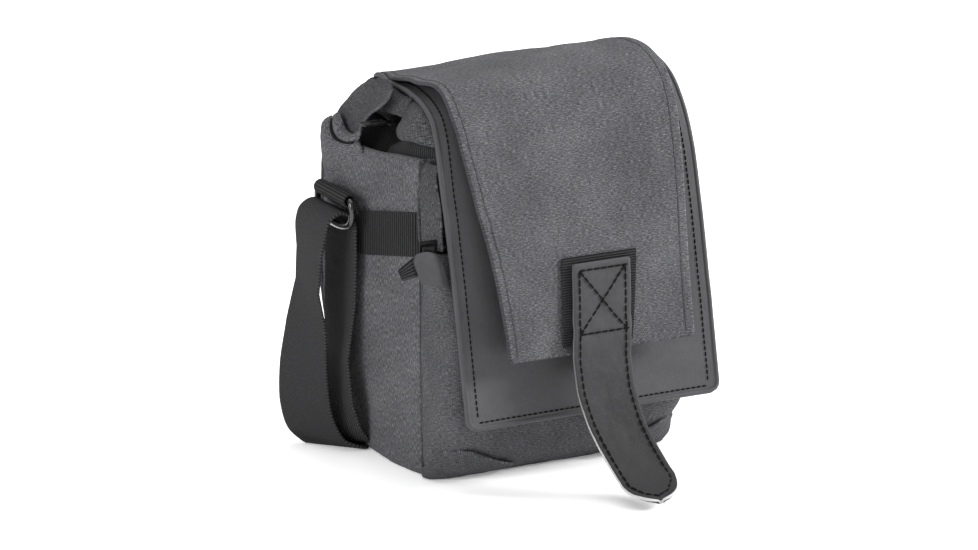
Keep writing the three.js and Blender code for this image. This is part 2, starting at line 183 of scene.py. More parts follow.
def ring_faces(first, rings, sides, closed=False):
    """Faces of a stack of rings of points: capped at both ends, or closed into a loop."""
    total = rings * sides
    faces = []
    for ring in range(rings if closed else rings - 1):
        for k in range(sides):
            a, b = ring * sides + k, ring * sides + (k + 1) % sides
            faces.append(tuple(first + i % total for i in (a, b, b + sides, a + sides)))
    if closed:
        return faces
    last = first + total - sides
    return faces + [tuple(range(first, first + sides)), tuple(reversed(range(last, last + sides)))]


def sheet(name, grid, thickness, look, rim_look=None, turn=False):
    """Gives a grid its thickness, in millimetres, and a rounded rim all round."""
    rows, columns = grid.shape[:2]
    half = thickness * MM / 2
    normal = facing(grid)
    u, v = travelled(grid[rows // 2]), travelled(grid[:, columns // 2])
    flat = np.stack(np.broadcast_arrays(u[None, :], v[:, None], 0.0 * v[:, None]), 2).reshape(-1, 3)
    if turn:
        flat = flat[:, [1, 0, 2]]
    top = (grid + normal * half).reshape(-1, 3)
    under = (grid - normal * half).reshape(-1, 3)
    count = rows * columns
    faces, kind = [], []
    for r in range(rows - 1):
        for c in range(columns - 1):
            a, b = r * columns + c, (r + 1) * columns + c
            faces += [(a, a + 1, b + 1, b), (count + a, count + b, count + b + 1, count + a + 1)]
            kind += [0, 0]
    loop = ([(0, c) for c in range(columns)] + [(r, columns - 1) for r in range(1, rows)]
            + [(rows - 1, c) for c in range(columns - 2, -1, -1)] + [(r, 0) for r in range(rows - 2, 0, -1)])
    points, cloth = [top, under], [flat, flat]
    edge = np.array([grid[i] for i in loop])
    middle = np.array([grid[min(max(r, 1), rows - 2), min(max(c, 1), columns - 2)] for r, c in loop])
    normals = np.array([normal[i] for i in loop])
    outward = edge - middle
    outward -= (outward * normals).sum(1, keepdims=True) * normals
    outward /= np.linalg.norm(outward, axis=1, keepdims=True) + 1e-12
    ring_flat = np.array([flat[r * columns + c] for r, c in loop])
    for angle in (45, 90, 135):
        turned = math.radians(angle)
        points.append(edge + outward * half * math.sin(turned) + normals * half * math.cos(turned))
        cloth.append(ring_flat)
    n = len(loop)
    chains = [[r * columns + c for r, c in loop]]
    chains += [[2 * count + k * n + i for i in range(n)] for k in range(3)]
    chains += [[count + r * columns + c for r, c in loop]]
    for step, (upper, lower) in enumerate(zip(chains, chains[1:])):
        for i in range(n):
            j = (i + 1) % n
            faces.append((upper[i], lower[i], lower[j], upper[j]))
            kind.append(1 if rim_look and step in (1, 2) else 0)
    looks = [look] + ([rim_look] if rim_look else [])
    return make_mesh(name, np.vstack(points), faces, looks, kind, np.vstack(cloth))


def tube(name, line, radius, look, sides=10, closed=False):
    """A round cord or wire along a line of points in metres."""
    line = np.array(line)
    if closed:
        along = np.roll(line, -1, 0) - np.roll(line, 1, 0)
    else:
        along = np.gradient(line, axis=0)
    along /= np.linalg.norm(along, axis=1, keepdims=True) + 1e-12
    rings, up = [], Vector((0.31, 0.17, 0.93))
    for p, t in zip(line, along):
        t = Vector(t)
        side = t.cross(up).normalized()
        up = side.cross(t).normalized()
        turns = [2 * math.pi * k / sides for k in range(sides)]
        rings.append([Vector(p) + side * radius * MM * math.cos(a) + up * radius * MM * math.sin(a)
                      for a in turns])
    faces = ring_faces(0, len(rings), sides, closed)
    cloth = [(2 * math.pi * radius * MM * k / sides, run, 0) for run in travelled(line) for k in range(sides)]
    return make_mesh(name, [p for ring in rings for p in ring], faces, [look], None, cloth)


STITCH = [(-0.5, 0.25, -0.6), (-0.38, 0.8, 0.0), (0.0, 1.0, 0.35), (0.38, 0.8, 0.0), (0.5, 0.25, -0.6)]


def stitches(name, lines, look, pitch=4.0, length=2.9, radius=0.38):
    """Thread: one short bead of thread per stitch along each (points, normals) line, in metres."""
    points, faces = [], []
    for line, normals in lines:
        line, normals = np.array(line), np.array(normals)
        along = travelled(line)
        for s in np.arange(pitch * MM / 2, along[-1], pitch * MM):
            at, up = sample(s, along, line), sample(s, along, normals)
            t = sample(s + 0.8 * MM, along, line) - sample(s - 0.8 * MM, along, line)
            t /= np.linalg.norm(t) + 1e-12
            side = np.cross(t, up)
            side /= np.linalg.norm(side) + 1e-12
            up = np.cross(side, t)
            faces += ring_faces(len(points), len(STITCH), 6)
            for place, width, rise in STITCH:
                for k in range(6):
                    a = 2 * math.pi * k / 6
                    points.append(at + t * place * length * MM + side * radius * MM * width * math.cos(a)
                                  + up * radius * MM * (width * math.sin(a) + rise))
    return make_mesh(name, points, faces, [look], None, [(p[0], p[2], p[1]) for p in points])


def settle(piece, body, slot, *nodes):
    """The piece rides on its body and stands for CAD nodes, which it hides; slot is not used."""
    if body:
        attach(piece, body)
    if nodes:
        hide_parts(*nodes)
    return piece


print("sheet, tube and stitch helpers ready")

# %% [markdown]
# ## Finishes
# Each finish is built from nodes. A weave is two sets of yarns, so it is made from two sine waves
# that take turns on top; flecks and clouds of dye come from stretched noise.
# %% Node helpers
def start_finish(name, roughness, sheen=0.0, metallic=0.0, coat=0.0, specular=0.5):
    material = bpy.data.materials.new(name)
    material.use_nodes = True
    tree = material.node_tree
    surface = tree.nodes["Principled BSDF"]
    surface.inputs["Roughness"].default_value = roughness
    surface.inputs["Sheen Weight"].default_value = sheen
    surface.inputs["Sheen Roughness"].default_value = 0.5
    surface.inputs["Metallic"].default_value = metallic
    surface.inputs["Coat Weight"].default_value = coat
    surface.inputs["Coat Roughness"].default_value = 0.15
    surface.inputs["Specular IOR Level"].default_value = specular
    return material, tree, surface


def put(tree, kind, settings=None, **values):
    node = tree.nodes.new(kind)
    for key, value in (settings or {}).items():
        setattr(node, key, value)
    for key, value in values.items():
        socket = node.inputs[int(key[1:])] if key[1:].isdigit() else node.inputs[key.replace("_", " ")]
        if isinstance(value, bpy.types.NodeSocket):
            tree.links.new(value, socket)
        else:
            socket.default_value = value
    return node


def sums(tree, operation, a, b=0.0):
    return put(tree, "ShaderNodeMath", {"operation": operation}, i0=a, i1=b).outputs[0]


def weighted(tree, *parts):
    """The sum of (value, weight) pairs."""
    total = None
    for value, weight in parts:
        part = value if weight == 1 else sums(tree, "MULTIPLY", value, weight)
        total = part if total is None else sums(tree, "ADD", total, part)
    return total


def wave(tree, place, pitch):
    """A sine wave that crosses zero once per pitch, in millimetres."""
    return sums(tree, "SINE", sums(tree, "MULTIPLY", place, math.pi / (pitch * MM)))


def cloth_place(tree):
    """The two directions on the flat cloth, in metres."""
    place = put(tree, "ShaderNodeAttribute", {"attribute_name": "cloth"})
    split = put(tree, "ShaderNodeSeparateXYZ", None, Vector=place.outputs["Vector"])
    return split.outputs[0], split.outputs[1]


def speckle(tree, u, v, across, along, detail=2.0):
    """Noise drawn out along one direction of the cloth."""
    place = put(tree, "ShaderNodeCombineXYZ", None, X=sums(tree, "MULTIPLY", u, across),
                Y=sums(tree, "MULTIPLY", v, along))
    return put(tree, "ShaderNodeTexNoise", None, Vector=place.outputs[0], Scale=1.0, Detail=detail,
               Roughness=0.6).outputs["Fac"]


def dye(tree, surface, factor, light, stops):
    """Base colour from a factor: each stop is (place, share of light, how cool the grey is)."""
    ramp = put(tree, "ShaderNodeValToRGB", None, Fac=factor)
    ramp.color_ramp.elements.remove(ramp.color_ramp.elements[1])
    ramp.color_ramp.elements[0].position = stops[0][0]
    for index, (place, share, cool) in enumerate(stops):
        stop = ramp.color_ramp.elements.new(place) if index else ramp.color_ramp.elements[0]
        stop.color = (light * share, light * share, light * share * cool, 1)
    tree.links.new(ramp.outputs[0], surface.inputs["Base Color"])


def raise_surface(tree, surface, height, distance, strength=1.0):
    bump = put(tree, "ShaderNodeBump", None, Strength=strength, Distance=distance * MM, Height=height)
    tree.links.new(bump.outputs[0], surface.inputs["Normal"])


print("node helpers ready")

# %% Canvas
def washed_canvas(name, light, streak_u, streak_v, pitch=0.95):
    """Plain-woven cotton, dyed and washed: fine yarns, pale flecks and streaks along the stronger yarn."""
    material, tree, surface = start_finish(name, 0.95, sheen=0.02, specular=0.08)
    u, v = cloth_place(tree)
    warp, weft = wave(tree, u, pitch), wave(tree, v, pitch * 0.85)
    turn = sums(tree, "GREATER_THAN", sums(tree, "MULTIPLY", warp, weft), 0.0)
    yarn = put(tree, "ShaderNodeMix", {"data_type": "FLOAT"}, i0=turn, i2=sums(tree, "ABSOLUTE", warp),
               i3=sums(tree, "ABSOLUTE", weft)).outputs[0]
    streak = speckle(tree, u, v, streak_u, streak_v, 3.0)
    fleck = speckle(tree, u, v, 1700, 1700, 2.0)
    clouds = speckle(tree, u, v, 22, 22, 4.0)
    tone = weighted(tree, (streak, 0.76), (fleck, 0.36), (clouds, 0.22), (yarn, 0.16))
    dye(tree, surface, tone, light,
        [(0.53, 0.35, 1.12), (0.72, 0.9, 1.1), (0.84, 1.7, 1.07), (0.97, 3.4, 1.04)])
    raise_surface(tree, surface, weighted(tree, (yarn, 1), (streak, 1.4)), 0.3, 0.8)
    return material


canvas = washed_canvas("washed_canvas", 0.061, 420, 1700)
canvas_side = washed_canvas("side_canvas", 0.064, 1600, 420)
# The gusset canvas is the washed canvas made darker: painted shade, for the gussets under the leather flap.
gusset_painted_shade_canvas = washed_canvas("gusset_cloth_painted_shade", 0.041, 1600, 420)
# The canvas in folds is the washed canvas made darker: painted shade, used on the front wall, pocket top, top
# panels, collar folds and seam cords.
fold_painted_shade_canvas = washed_canvas("canvas_painted_fold_shade", 0.041, 420, 1500)
# The pocket canvas is the washed canvas made a little darker: painted shade, for the pocket that sits low
# under the flaps.
pocket_painted_shade_canvas = washed_canvas("pocket_canvas", 0.052, 420, 1700)
print("canvas ready")

# %% Hide
def hide(name, light, grain, rough, specular=0.3, painted_shade_along=0.0):
    """Dyed hide; the last argument darkens it along its length, in shares per metre, as painted shade."""
    material, tree, surface = start_finish(name, rough, specular=specular)
    u, v = cloth_place(tree)
    place = put(tree, "ShaderNodeCombineXYZ", None, X=u, Y=v).outputs[0]
    pores = put(tree, "ShaderNodeTexVoronoi", {"feature": "DISTANCE_TO_EDGE"}, Vector=place,
                Scale=1000 / grain).outputs["Distance"]
    clouds = speckle(tree, u, v, 18, 18, 5.0)
    rub = speckle(tree, u, v, 300, 300, 3.0)
    tone = weighted(tree, (clouds, 0.7), (rub, 0.3))
    # Painted shade: the hide darkens the further along its length.
    tone = sums(tree, "SUBTRACT", tone, sums(tree, "MULTIPLY", v, painted_shade_along))
    dye(tree, surface, tone, light, [(0, 0.45, 1.05), (0.25, 0.75, 1.05), (0.55, 1, 1.05), (0.8, 1.25, 1.04)])
    gloss = sums(tree, "ADD", sums(tree, "MULTIPLY", rub, 0.18), rough - 0.1)
    tree.links.new(gloss, surface.inputs["Roughness"])
    height = sums(tree, "ADD", sums(tree, "MINIMUM", sums(tree, "MULTIPLY", pores, 3.0), 0.5), rub)
    raise_surface(tree, surface, height, 0.16, 0.7)
    return material


flap_hide = hide("flap_hide", 0.062, 0.9, 0.5, 0.2)
# The tab's hide is darkened towards its tail: painted shade.
tab_hide = hide("tab_hide", 0.055, 1.5, 0.55, 0.12, painted_shade_along=5.0)
pull_hide = hide("pull_hide", 0.058, 1.2, 0.55, 0.15)
bound_edge = hide("bound_edge", 0.055, 0.9, 0.5, 0.2)


def cut_edge(name):
    material, tree, surface = start_finish(name, 0.85, specular=0.2)
    u, v = cloth_place(tree)
    # Paler the further along the edge, with random flecks.
    paler_along_edge = weighted(tree, (speckle(tree, u, v, 900, 900, 3.0), 0.3), (v, 6.0))
    dye(tree, surface, paler_along_edge, 1, [(0.2, 0.07, 1.1), (0.55, 0.12, 1.05), (0.85, 0.42, 0.98)])
    raise_surface(tree, surface, speckle(tree, u, v, 2500, 2500), 0.2)
    return material


raw_edge = cut_edge("raw_cut_edge")
print("hide ready")

# %% Ribbed tape, webbing and zip cloth
def ribbed(name, light, pitch, depth, slant=0.0, rough=0.85):
    """Tape with raised ribs across it; a slant turns the ribs into twill lines."""
    material, tree, surface = start_finish(name, rough, specular=0.08)
    u, v = cloth_place(tree)
    rib = sums(tree, "ABSOLUTE", wave(tree, weighted(tree, (v, 1), (u, slant)), pitch))
    yarn = sums(tree, "ABSOLUTE", wave(tree, u, 0.7))
    fuzz = speckle(tree, u, v, 700, 700, 3.0)
    tone = weighted(tree, (rib, 0.6), (fuzz, 0.5))
    dye(tree, surface, tone, light, [(0.2, 0.3, 1.05), (0.6, 1, 1.05), (1, 1.9, 1.05)])
    raise_surface(tree, surface, weighted(tree, (rib, 1), (yarn, 0.25)), depth)
    return material


rib_tape = ribbed("ribbed_tape", 0.024, 1.7, 0.9)
patch_tape = ribbed("patch_tape", 0.021, 1.5, 0.7)
twill = ribbed("twill_webbing", 0.028, 2.1, 0.5, slant=1.4)
zip_cloth = ribbed("zip_cloth", 0.03, 1.7, 0.5)
# Near-black cloth for the hollow under the flap and the dark line at the collar's edge: painted shade, not a
# lining colour of the bag.
painted_shade_cloth = ribbed("hollow_painted_shade", 0.008, 1.4, 0.3)
lining = ribbed("brushed_lining", 0.055, 0.8, 0.12, slant=0.8, rough=0.95)
hooks = ribbed("hook_and_loop", 0.014, 1.4, 0.8, slant=0.0, rough=0.9)


def hard_black(name, rough, metallic, coat, scratch, colour=0.012, specular=0.5):
    """Enamelled metal or moulded nylon, with faint handling marks in its gloss."""
    material, tree, surface = start_finish(name, rough, metallic=metallic, coat=coat, specular=specular)
    place = put(tree, "ShaderNodeTexCoord").outputs["Object"]
    marks = put(tree, "ShaderNodeTexNoise", None, Vector=place, Scale=scratch, Detail=5.0).outputs["Fac"]
    dye(tree, surface, marks, colour, [(0.3, 0.7, 1.05), (0.7, 1.6, 1.05)])
    gloss = sums(tree, "ADD", sums(tree, "MULTIPLY", marks, 0.25), rough - 0.1)
    tree.links.new(gloss, surface.inputs["Roughness"])
    raise_surface(tree, surface, marks, 0.05)
    return material


enamel = hard_black("black_enamel", 0.22, 0.3, 0.6, 900, 0.007)
cast_black = hard_black("cast_black", 0.4, 0.0, 0.0, 900, 0.006, 0.2)
nylon = hard_black("black_nylon", 0.4, 0.0, 0.2, 1500)
board = hard_black("stiff_board", 0.7, 0.0, 0.0, 400)
thread = ribbed("black_thread", 0.005, 0.5, 0.1, slant=1.0, rough=0.8)
print("tape, webbing, metal and thread ready")

# %% [markdown]
# ## Shoulder strap
# The strap is flat webbing 38 mm wide. It runs from the slider down the right side, lies on the
# floor behind the bag, climbs the left side, turns over the left ring and comes back the same way.
# Each route point is its place in millimetres and the way its width lies, seen from above.
# Webbing bends along its length only, so it is a ribbon along a route. It is made in three
# lengths that meet behind the bag.
# %% Strap route
run_in = [[(108.9, 44, 68), (0, 1)], [(108.9, 44, 52), (0, 1)], [(108.5, 46, 34), (0, 1)],
          [(107, 50, 18), (0, 1)], [(100.5, 58, 6.5), (.3, .95)], [(89.5, 68, 3.6), (.5, .87)],
          [(71.5, 82, 3.6), (.42, .91)], [(37.5, 96, 3.6), (.2, .98)], [(0, 101, 3.6), (0, 1)],
          [(-37.5, 95, 3.6), (-.2, .98)], [(-72.5, 84, 3.6), (-.5, .87)], [(-88, 57, 3.6), (-.8, .6)],
          [(-95, 38, 4.6), (-.68, .73)], [(-98, 37, 15), (-.4, .92)], [(-99, 37, 32), (-.14, .99)],
          [(-98.7, 34, 60), (.12, .99)],
          [(-98.5, 29, 95), (0, 1)], [(-98.3, 28, 118), (0, 1)], [(-98.2, 28, 134), (0, 1)]]
over_ring = [[(-98.5, 28, 143), (0, 1)], [(-101.3, 28, 148.8), (0, 1)], [(-107.5, 28.5, 151), (0, 1)],
             [(-114, 29.5, 147), (0, 1)], [(-116.1, 31, 138), (0, 1)]]
run_out = [[(-116.5, 33, 122), (.1, 1)], [(-116.8, 35, 102), (.12, .99)], [(-116.6, 37.2, 78), (-.16, .99)],
           [(-116.5, 42, 48), (-.32, .95)], [(-113.5, 44, 22), (-.42, .91)], [(-107.5, 42, 7), (-.5, .87)],
           [(-98.5, 37, 1.4), (-.68, .73)], [(-90, 55, 1.2), (-.8, .6)], [(-76.5, 80, 1.2), (-.5, .87)],
           [(-40.5, 94, 1.2), (-.2, .98)],
           [(0, 101, 1.2), (0, 1)], [(40.5, 95, 1.2), (.2, .98)], [(75.5, 80, 1.2), (.42, .91)],
           [(98.5, 64, 1.2), (.45, .89)], [(108.5, 54, 6), (.2, .98)], [(113.1, 47.5, 26), (0, 1)],
           [(114.1, 44, 50), (0, 1)], [(114.1, 44, 87), (0, 1)], [(110.3, 40.5, 99), (0, 1)],
           [(105.1, 34, 112), (0, 1)], [(109, 30, 130), (0, 1)], [(111.5, 28.5, 143), (0, 1)],
           [(107.5, 28, 150.5), (0, 1)], [(101.3, 28, 148.8), (0, 1)], [(98.5, 28, 143), (0, 1)],
           [(98.4, 28, 134), (0, 1)], [(101.1, 31, 118), (0, 1)], [(102.4, 33, 108), (0, 1)]]
WEBBING_HALF, WEBBING = 19.0, 1.8


def webbing(name, rows, steps):
    middle = smooth_line([centre for centre, _ in rows], steps)
    reach = np.concatenate([[0], np.cumsum([math.dist(a[0], b[0]) for a, b in zip(rows, rows[1:])])])
    at = np.linspace(0, reach[-1], steps)
    across = np.stack([np.interp(at, reach, [w[k] for _, w in rows]) for k in (0, 1)] + [0 * at], 1)
    across /= np.linalg.norm(across, axis=1, keepdims=True)
    width = np.linspace(-1, 1, 15)[None, :, None] * WEBBING_HALF * MM
    grid = middle[:, None, :] + across[:, None, :] * width
    length = length_of(middle)
    piece = sheet(name, grid, WEBBING, twill)
    print(name, "is", round(length, 3), "m long")
    return piece, length


# %% Strap pieces
left_rows = run_in[8:] + over_ring + run_out[:11]
strap_left, left_length = webbing("strap_left", left_rows, 330)
strap_inner, inner_length = webbing("strap_right_inner", run_in[:9], 120)
strap_outer, outer_length = webbing("strap_right_outer", run_out[10:], 240)
for strap in (strap_left, strap_inner, strap_outer):
    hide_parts("strap_webbing")
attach(strap_inner, "bag")
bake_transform(strap_left)
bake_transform(strap_outer)
print("whole strap", round(left_length + inner_length + outer_length, 3), "m")

# %% [markdown]
# ## Side walls
# A side wall is canvas over foam. It starts at the narrow base, bellies out as it rises and is
# gathered in at its seams. A grid is shaped by the same belly rule as the frame and then
# swelled a little unevenly, because hand-sewn canvas is never flat.
# %% Side walls
FRONT, REAR, HALF, BULGE = -38.0, 70.0, 79.5, 15.0


def ease(value, low, high):
    t = np.clip((value - low) / (high - low), 0, 1)
    return t * t * (3 - 2 * t)


def side_reach(y, z):
    return HALF + BULGE * ease(z, 6, 95) * np.sin(0.62 * math.pi * (y - FRONT) / (REAR - FRONT))


def side_wall(name, sign, rim):
    y = np.linspace(-37.5, 67.5, 46)[None, :]
    share = np.linspace(0, 1, 80)[:, None]
    top = np.interp(y, *zip(*rim))
    z = 1.6 + (top - 1.6) * share
    x = side_reach(y, z) - 1.6
    x = x - 1.8 * (1 - ease(y, -38, -31)) - 9.0 * ease(y, 57, 68) ** 1.5 - 2.2 * (1 - ease(z, 0, 9))
    x = x + 5.0 * (1 - ease(z, 0, 75)) * np.sin((y - FRONT) / 108 * math.pi) ** 0.7
    x = x + 1.8 * np.sin(np.clip((z - 20) / 115, 0, 1) * math.pi) * np.sin((y - FRONT) / 108 * math.pi)
    x = x - 1.6 * np.exp(-(((z - (146 - 0.18 * (y + 34))) / 9) ** 2)) * np.sin((y - FRONT) / 108 * math.pi)
    x = x - 3.0 * ease(z, top - 6, top) ** 2
    grid = np.stack([sign * x, y + 0 * x, z + 0 * x], 2) * MM
    grid = crumple(grid, 1.3 * sign, 34, 3.0 + sign)
    return sheet(name, grid, 3.0, canvas_side)


side_rim = [(-38, 188.8), (-27, 188.6), (-13, 187.6), (0, 186),
            (12, 185.6), (22, 185.6), (44, 184), (70, 186)]
for side, sign in (("left", -1), ("right", 1)):
    wall = settle(side_wall(f"wall_{side}", sign, side_rim), "bag", "canvas", f"side_panel_{side}")
print("side walls", len(wall.data.vertices), "points each")

# %% [markdown]
# ## Base, front and back walls
# The base is a shallow tray whose edge is rolled up into the walls. The back wall is one padded
# panel with rounded shoulders, stitched all round.
# %% Base
def rounded_plan(half_x, front, rear, front_radius, rear_radius, steps=8):
    out = []
    for cx, cy, turn, radius in ((half_x, rear, 0, rear_radius), (-half_x, rear, 90, rear_radius),
                                 (-half_x, front, 180, front_radius), (half_x, front, 270, front_radius)):
        mx = cx - math.copysign(radius, cx)
        my = cy - radius if cy == rear else cy + radius
        for i in range(steps + 1):
            a = math.radians(turn + 90 * i / steps)
            out.append((mx + radius * math.cos(a), my + radius * math.sin(a)))
    return out


def stack_rings(name, rings, look):
    count = len(rings[0])
    faces = ring_faces(0, len(rings), count)
    points = [tuple(c * MM for c in p) for ring in rings for p in ring]
    run, cloth = 0.0, []
    for ring in rings:
        for i, p in enumerate(ring):
            run = 0.0 if i == 0 else run + math.dist(p, ring[i - 1]) * MM
            cloth.append((run, p[2] * MM + 0.3 * p[1] * MM, 0))
    return make_mesh(name, points, faces, [look], None, cloth)


base_rings = []
base_profile = [(0, 9), (0, 4.6), (0.8, 2.6), (2.2, 1.2), (3.8, 0.4), (5.4, 0.2), (7.0, 1.0), (7.4, 3.0)]
for height, inset in base_profile:
    plan = rounded_plan(HALF - inset, FRONT - 8 + inset, REAR - 2 - inset, 7, 27)
    base_rings.append([(x, y, height) for x, y in plan])
base = stack_rings("base_tray", base_rings, canvas)
settle(base, "bag", "canvas", "base_panel")
print("base tray", len(base_rings), "rings")

# %% Back and front walls
def flat_wall(name, outline, y, thick, swell, look):
    """A padded upright wall: rows from its foot to its top, its width given by an outline."""
    z = np.linspace(outline[0][1], outline[-1][1], 60)[:, None]
    half = np.interp(z, [p[1] for p in outline], [p[0] for p in outline])
    share = np.linspace(-1, 1, 56)[None, :]
    x = half * share
    rise = np.clip((z - z[0]) / (z[-1] - z[0]), 0, 1)
    crown = swell * (1 - np.abs(share) ** 4) * np.sin(rise * math.pi) ** 0.4
    grid = np.stack([x, y + crown + 0 * x, z + 0 * x], 2) * MM
    return sheet(name, crumple(grid, 0.7, 45, 11.0), thick, look)


back_outline = [(77.5, 3), (79.5, 12), (85.5, 50), (91, 95), (89.5, 168), (81.5, 187), (71.5, 201), (60, 211)]
wall_back = flat_wall("wall_back", back_outline, 67.2, 4.0, 3.0, canvas)
wall_front = flat_wall("wall_front", [(77.5, 6), (78.5, 189)], -36, 3.4, 0.0, fold_painted_shade_canvas)
settle(wall_back, "bag", "canvas", "back_panel")
settle(wall_front, "bag", "canvas", "front_panel")
edge = [(-x, 71.5, z) for x, z in back_outline[1:]] + [(x, 71.5, z) for x, z in reversed(back_outline[1:])]
back_line = smooth_line([(x * 0.955, y - 0.6, z * 0.985) for x, y, z in edge], 300)
settle(stitches("back_stitches", [(back_line, np.tile([0, 1, 0], (300, 1)))], thread), "bag", "canvas")
print("back wall swells to y =", round(max(v.co.y for v in wall_back.data.vertices), 4), "m")

# %% [markdown]
# ## Front pocket
# The pocket is a boxed bag on the front wall: its sides run forward from the side seams, turn a
# soft corner and join the face. It is lofted as a stack of plans, one per height. Each bottom
# corner is folded over into a dart, which is a small canvas triangle of its own.
# %% Pocket shell
pocket_face = [(-44, 1.0), (-49.5, 4), (-57, 12), (-66, 25), (-73.2, 42), (-75.2, 60), (-71.8, 90),
               (-63.8, 120), (-56, 138)]


def pocket_plan(y_face, z, radius):
    side = 78.8 - 0.8 * ease(z, 60, 140) - 5.0 * (1 - ease(z, 0, 16)) ** 2
    middle = (y_face + FRONT) / 2
    tuck = 9.5 * (1 - ease(z, 3, 46))
    bulge = 1.4 * math.sin(min(max(z / 138, 0), 1) * math.pi)
    left = [(-side + 1.5, FRONT + 0.5, z), (-side - bulge * 0.6, FRONT - 3, z), (-side - bulge, middle, z),
            (-side - bulge * 0.3 + tuck * 0.7, y_face + radius, z),
            (-side + radius * 0.32 + tuck, y_face + radius * 0.32, z), (-side + radius + tuck, y_face, z)]
    face = [(x, y_face - 1.2 * (1 - (x / 79.5) ** 2), z) for x in (-50, -25, 0, 25, 50)]
    return left + face + [(-x, y, z) for x, y, z in reversed(left)]


face_line = smooth_line([(0, y, z) for y, z in pocket_face], 15) / MM
pocket_curves = [pocket_plan(y, z, min(9.0, max(3.0, (FRONT - y) * 0.3))) for _, y, z in face_line]
pocket_grid = crumple(skin(pocket_curves, 74, 150), 1.1, 30, 21.0)
pocket = sheet("pocket_canvas", pocket_grid, 2.2, pocket_painted_shade_canvas)
settle(pocket, "bag", "canvas", "pocket_shell")
lo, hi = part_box("pocket_shell")
print("pocket frame runs from", [round(c, 3) for c in lo], "to", [round(c, 3) for c in hi])

# %% Pocket darts and corner piping
dart_rows = [[(79.6, -38.5, 4.5), (79.8, -47, 12.5), (76.5, -56, 20), (71, -63, 22.5),
              (63, -67, 21.5), (54, -66.2, 17.2), (42, -61.8, 11), (30, -57, 6.6)],
             [(79.9, -39.5, 3.0), (79.4, -46, 6.5), (75, -53.5, 10.5), (69, -58, 11.5),
              (62, -60, 11), (54, -59, 9), (42, -56, 6.4), (30, -53.5, 4.4)],
             [(79.4, -40, 1.4), (77, -43.5, 1.3), (71, -46.5, 1.3), (64, -47.5, 1.3),
              (57, -47.6, 1.4), (50, -47.6, 1.5), (41, -47.6, 1.5), (31, -47.4, 1.6)]]
corner_line = [(79.2, -38.4, z) for z in (3, 20, 60, 100, 132)]
corner_line += [(80.4, -37.6, 146), (80.6, -37.2, 166), (80, -37.2, 182)]
gusset_plan = [(79.6, -36, 0), (79.4, -42, 0.2), (78.6, -50, 0.6), (76.5, -58, 1)]
gusset_rise = [(188.6, 9, 3), (184, 8, 0.6), (176, 6, 0), (164, 2.5, 0), (142, 0, 0)]
for side, sign in (("left", -1), ("right", 1)):
    dart = crumple(skin([sided(row, sign) for row in dart_rows], 14, 40), 0.4, 14, 5.0)
    settle(sheet(f"pocket_dart_{side}", dart, 1.8, pocket_painted_shade_canvas), "bag", "canvas")
    seam = smooth_line(sided(corner_line, sign), 80)
    settle(tube(f"corner_seam_{side}", seam, 0.9, fold_painted_shade_canvas), "bag", "canvas")
    gusset_rows = [[(x - tuck, y + slope * share, z) for x, y, share in gusset_plan]
                   for z, slope, tuck in gusset_rise]
    gusset = crumple(skin([sided(row, sign) for row in gusset_rows], 30, 22), 0.9, 18, 12.0)
    settle(sheet(f"front_gusset_{side}", gusset, 1.8, gusset_painted_shade_canvas), "bag", "canvas")
print("darts, corner seams and gussets sewn")

# %% Pocket top, its zip and the front of the bag
def crossways(across, side_view, rows, columns):
    """A panel that runs straight across the bag, with its side view given as (y, z) points."""
    return skin([[(x, y, z) for x in across] for y, z in side_view], rows, columns)


COIL_PITCH = 1.5
top_line = [(-51.5, 148.5), (-48.5, 165), (-43.5, 178), (-39.6, 190)]
top_grid = crossways((-75.8, -40, 0, 40, 75.8), top_line, 34, 60)
pocket_top = sheet("pocket_top", crumple(top_grid, 0.8, 30, 8.0), 2.2, fold_painted_shade_canvas)
settle(pocket_top, "bag", "canvas", "pocket_top_panel")


def zip_coil(name, start, end, across, out):
    """Coil teeth: two rows of small rounded loops that mesh along a line, in millimetres."""
    points, faces = [], []
    start, end, across, out = (np.array(p, float) for p in (start, end, across, out))
    run = (end - start) / np.linalg.norm(end - start)
    for i in range(int(np.linalg.norm(end - start) / COIL_PITCH)):
        side = 1 if i % 2 else -1
        centre = start + run * (i + 0.5) * COIL_PITCH + across * side * 0.9
        faces += ring_faces(len(points), 4, 6)
        for reach, squeeze in ((-1.5, 0.55), (-0.9, 1.0), (0.9, 1.0), (1.5, 0.55)):
            for k in range(6):
                a = 2 * math.pi * k / 6
                points.append((centre + across * reach + run * 0.62 * squeeze * math.cos(a)
                               + out * (0.75 * squeeze * math.sin(a) + 0.7)) * MM)
    return make_mesh(name, points, faces, [nylon])


pocket_coil = zip_coil("pocket_coil", (-75.5, -51.8, 143.5), (75.5, -51.8, 143.5), (0, 0, 1), (0, -1, 0))
settle(pocket_coil, "bag", "zip_coil", "pocket_zip_chain")
tape_grid = crossways((-76.5, 0, 76.5), [(-50.3, z) for z in (137.5, 143.5, 149.5)], 8, 90)
settle(sheet("pocket_tape", tape_grid, 0.8, zip_cloth, turn=True), "bag", "zip_tape", "pocket_zip_tape")
print("pocket zip has", int(2 * 75.5 / COIL_PITCH), "teeth")

# %% [markdown]
# ## Zip sliders and pulls
# A slider is a small cast block with a bridge on top; the pull hangs from the bridge. Small cast
# parts look right when every edge is rounded, so each is a block with its edges bevelled round.
# %% Small metal parts
def cast_block(name, low, high, round_edge, look):
    mesh = bpy.data.meshes.new(name)
    solid = bmesh.new()
    bmesh.ops.create_cube(solid, size=1.0)
    low, high = np.array(low) * MM, np.array(high) * MM
    for corner in solid.verts:
        corner.co = Vector((low + high) / 2 + np.array(corner.co) * (high - low))
    bmesh.ops.bevel(solid, geom=list(solid.edges), offset=round_edge * MM, segments=3,
                    affect="EDGES", profile=0.6)
    solid.to_mesh(mesh)
    solid.free()
    mesh.materials.append(look)
    mesh.shade_smooth()
    return add_object(name, mesh)


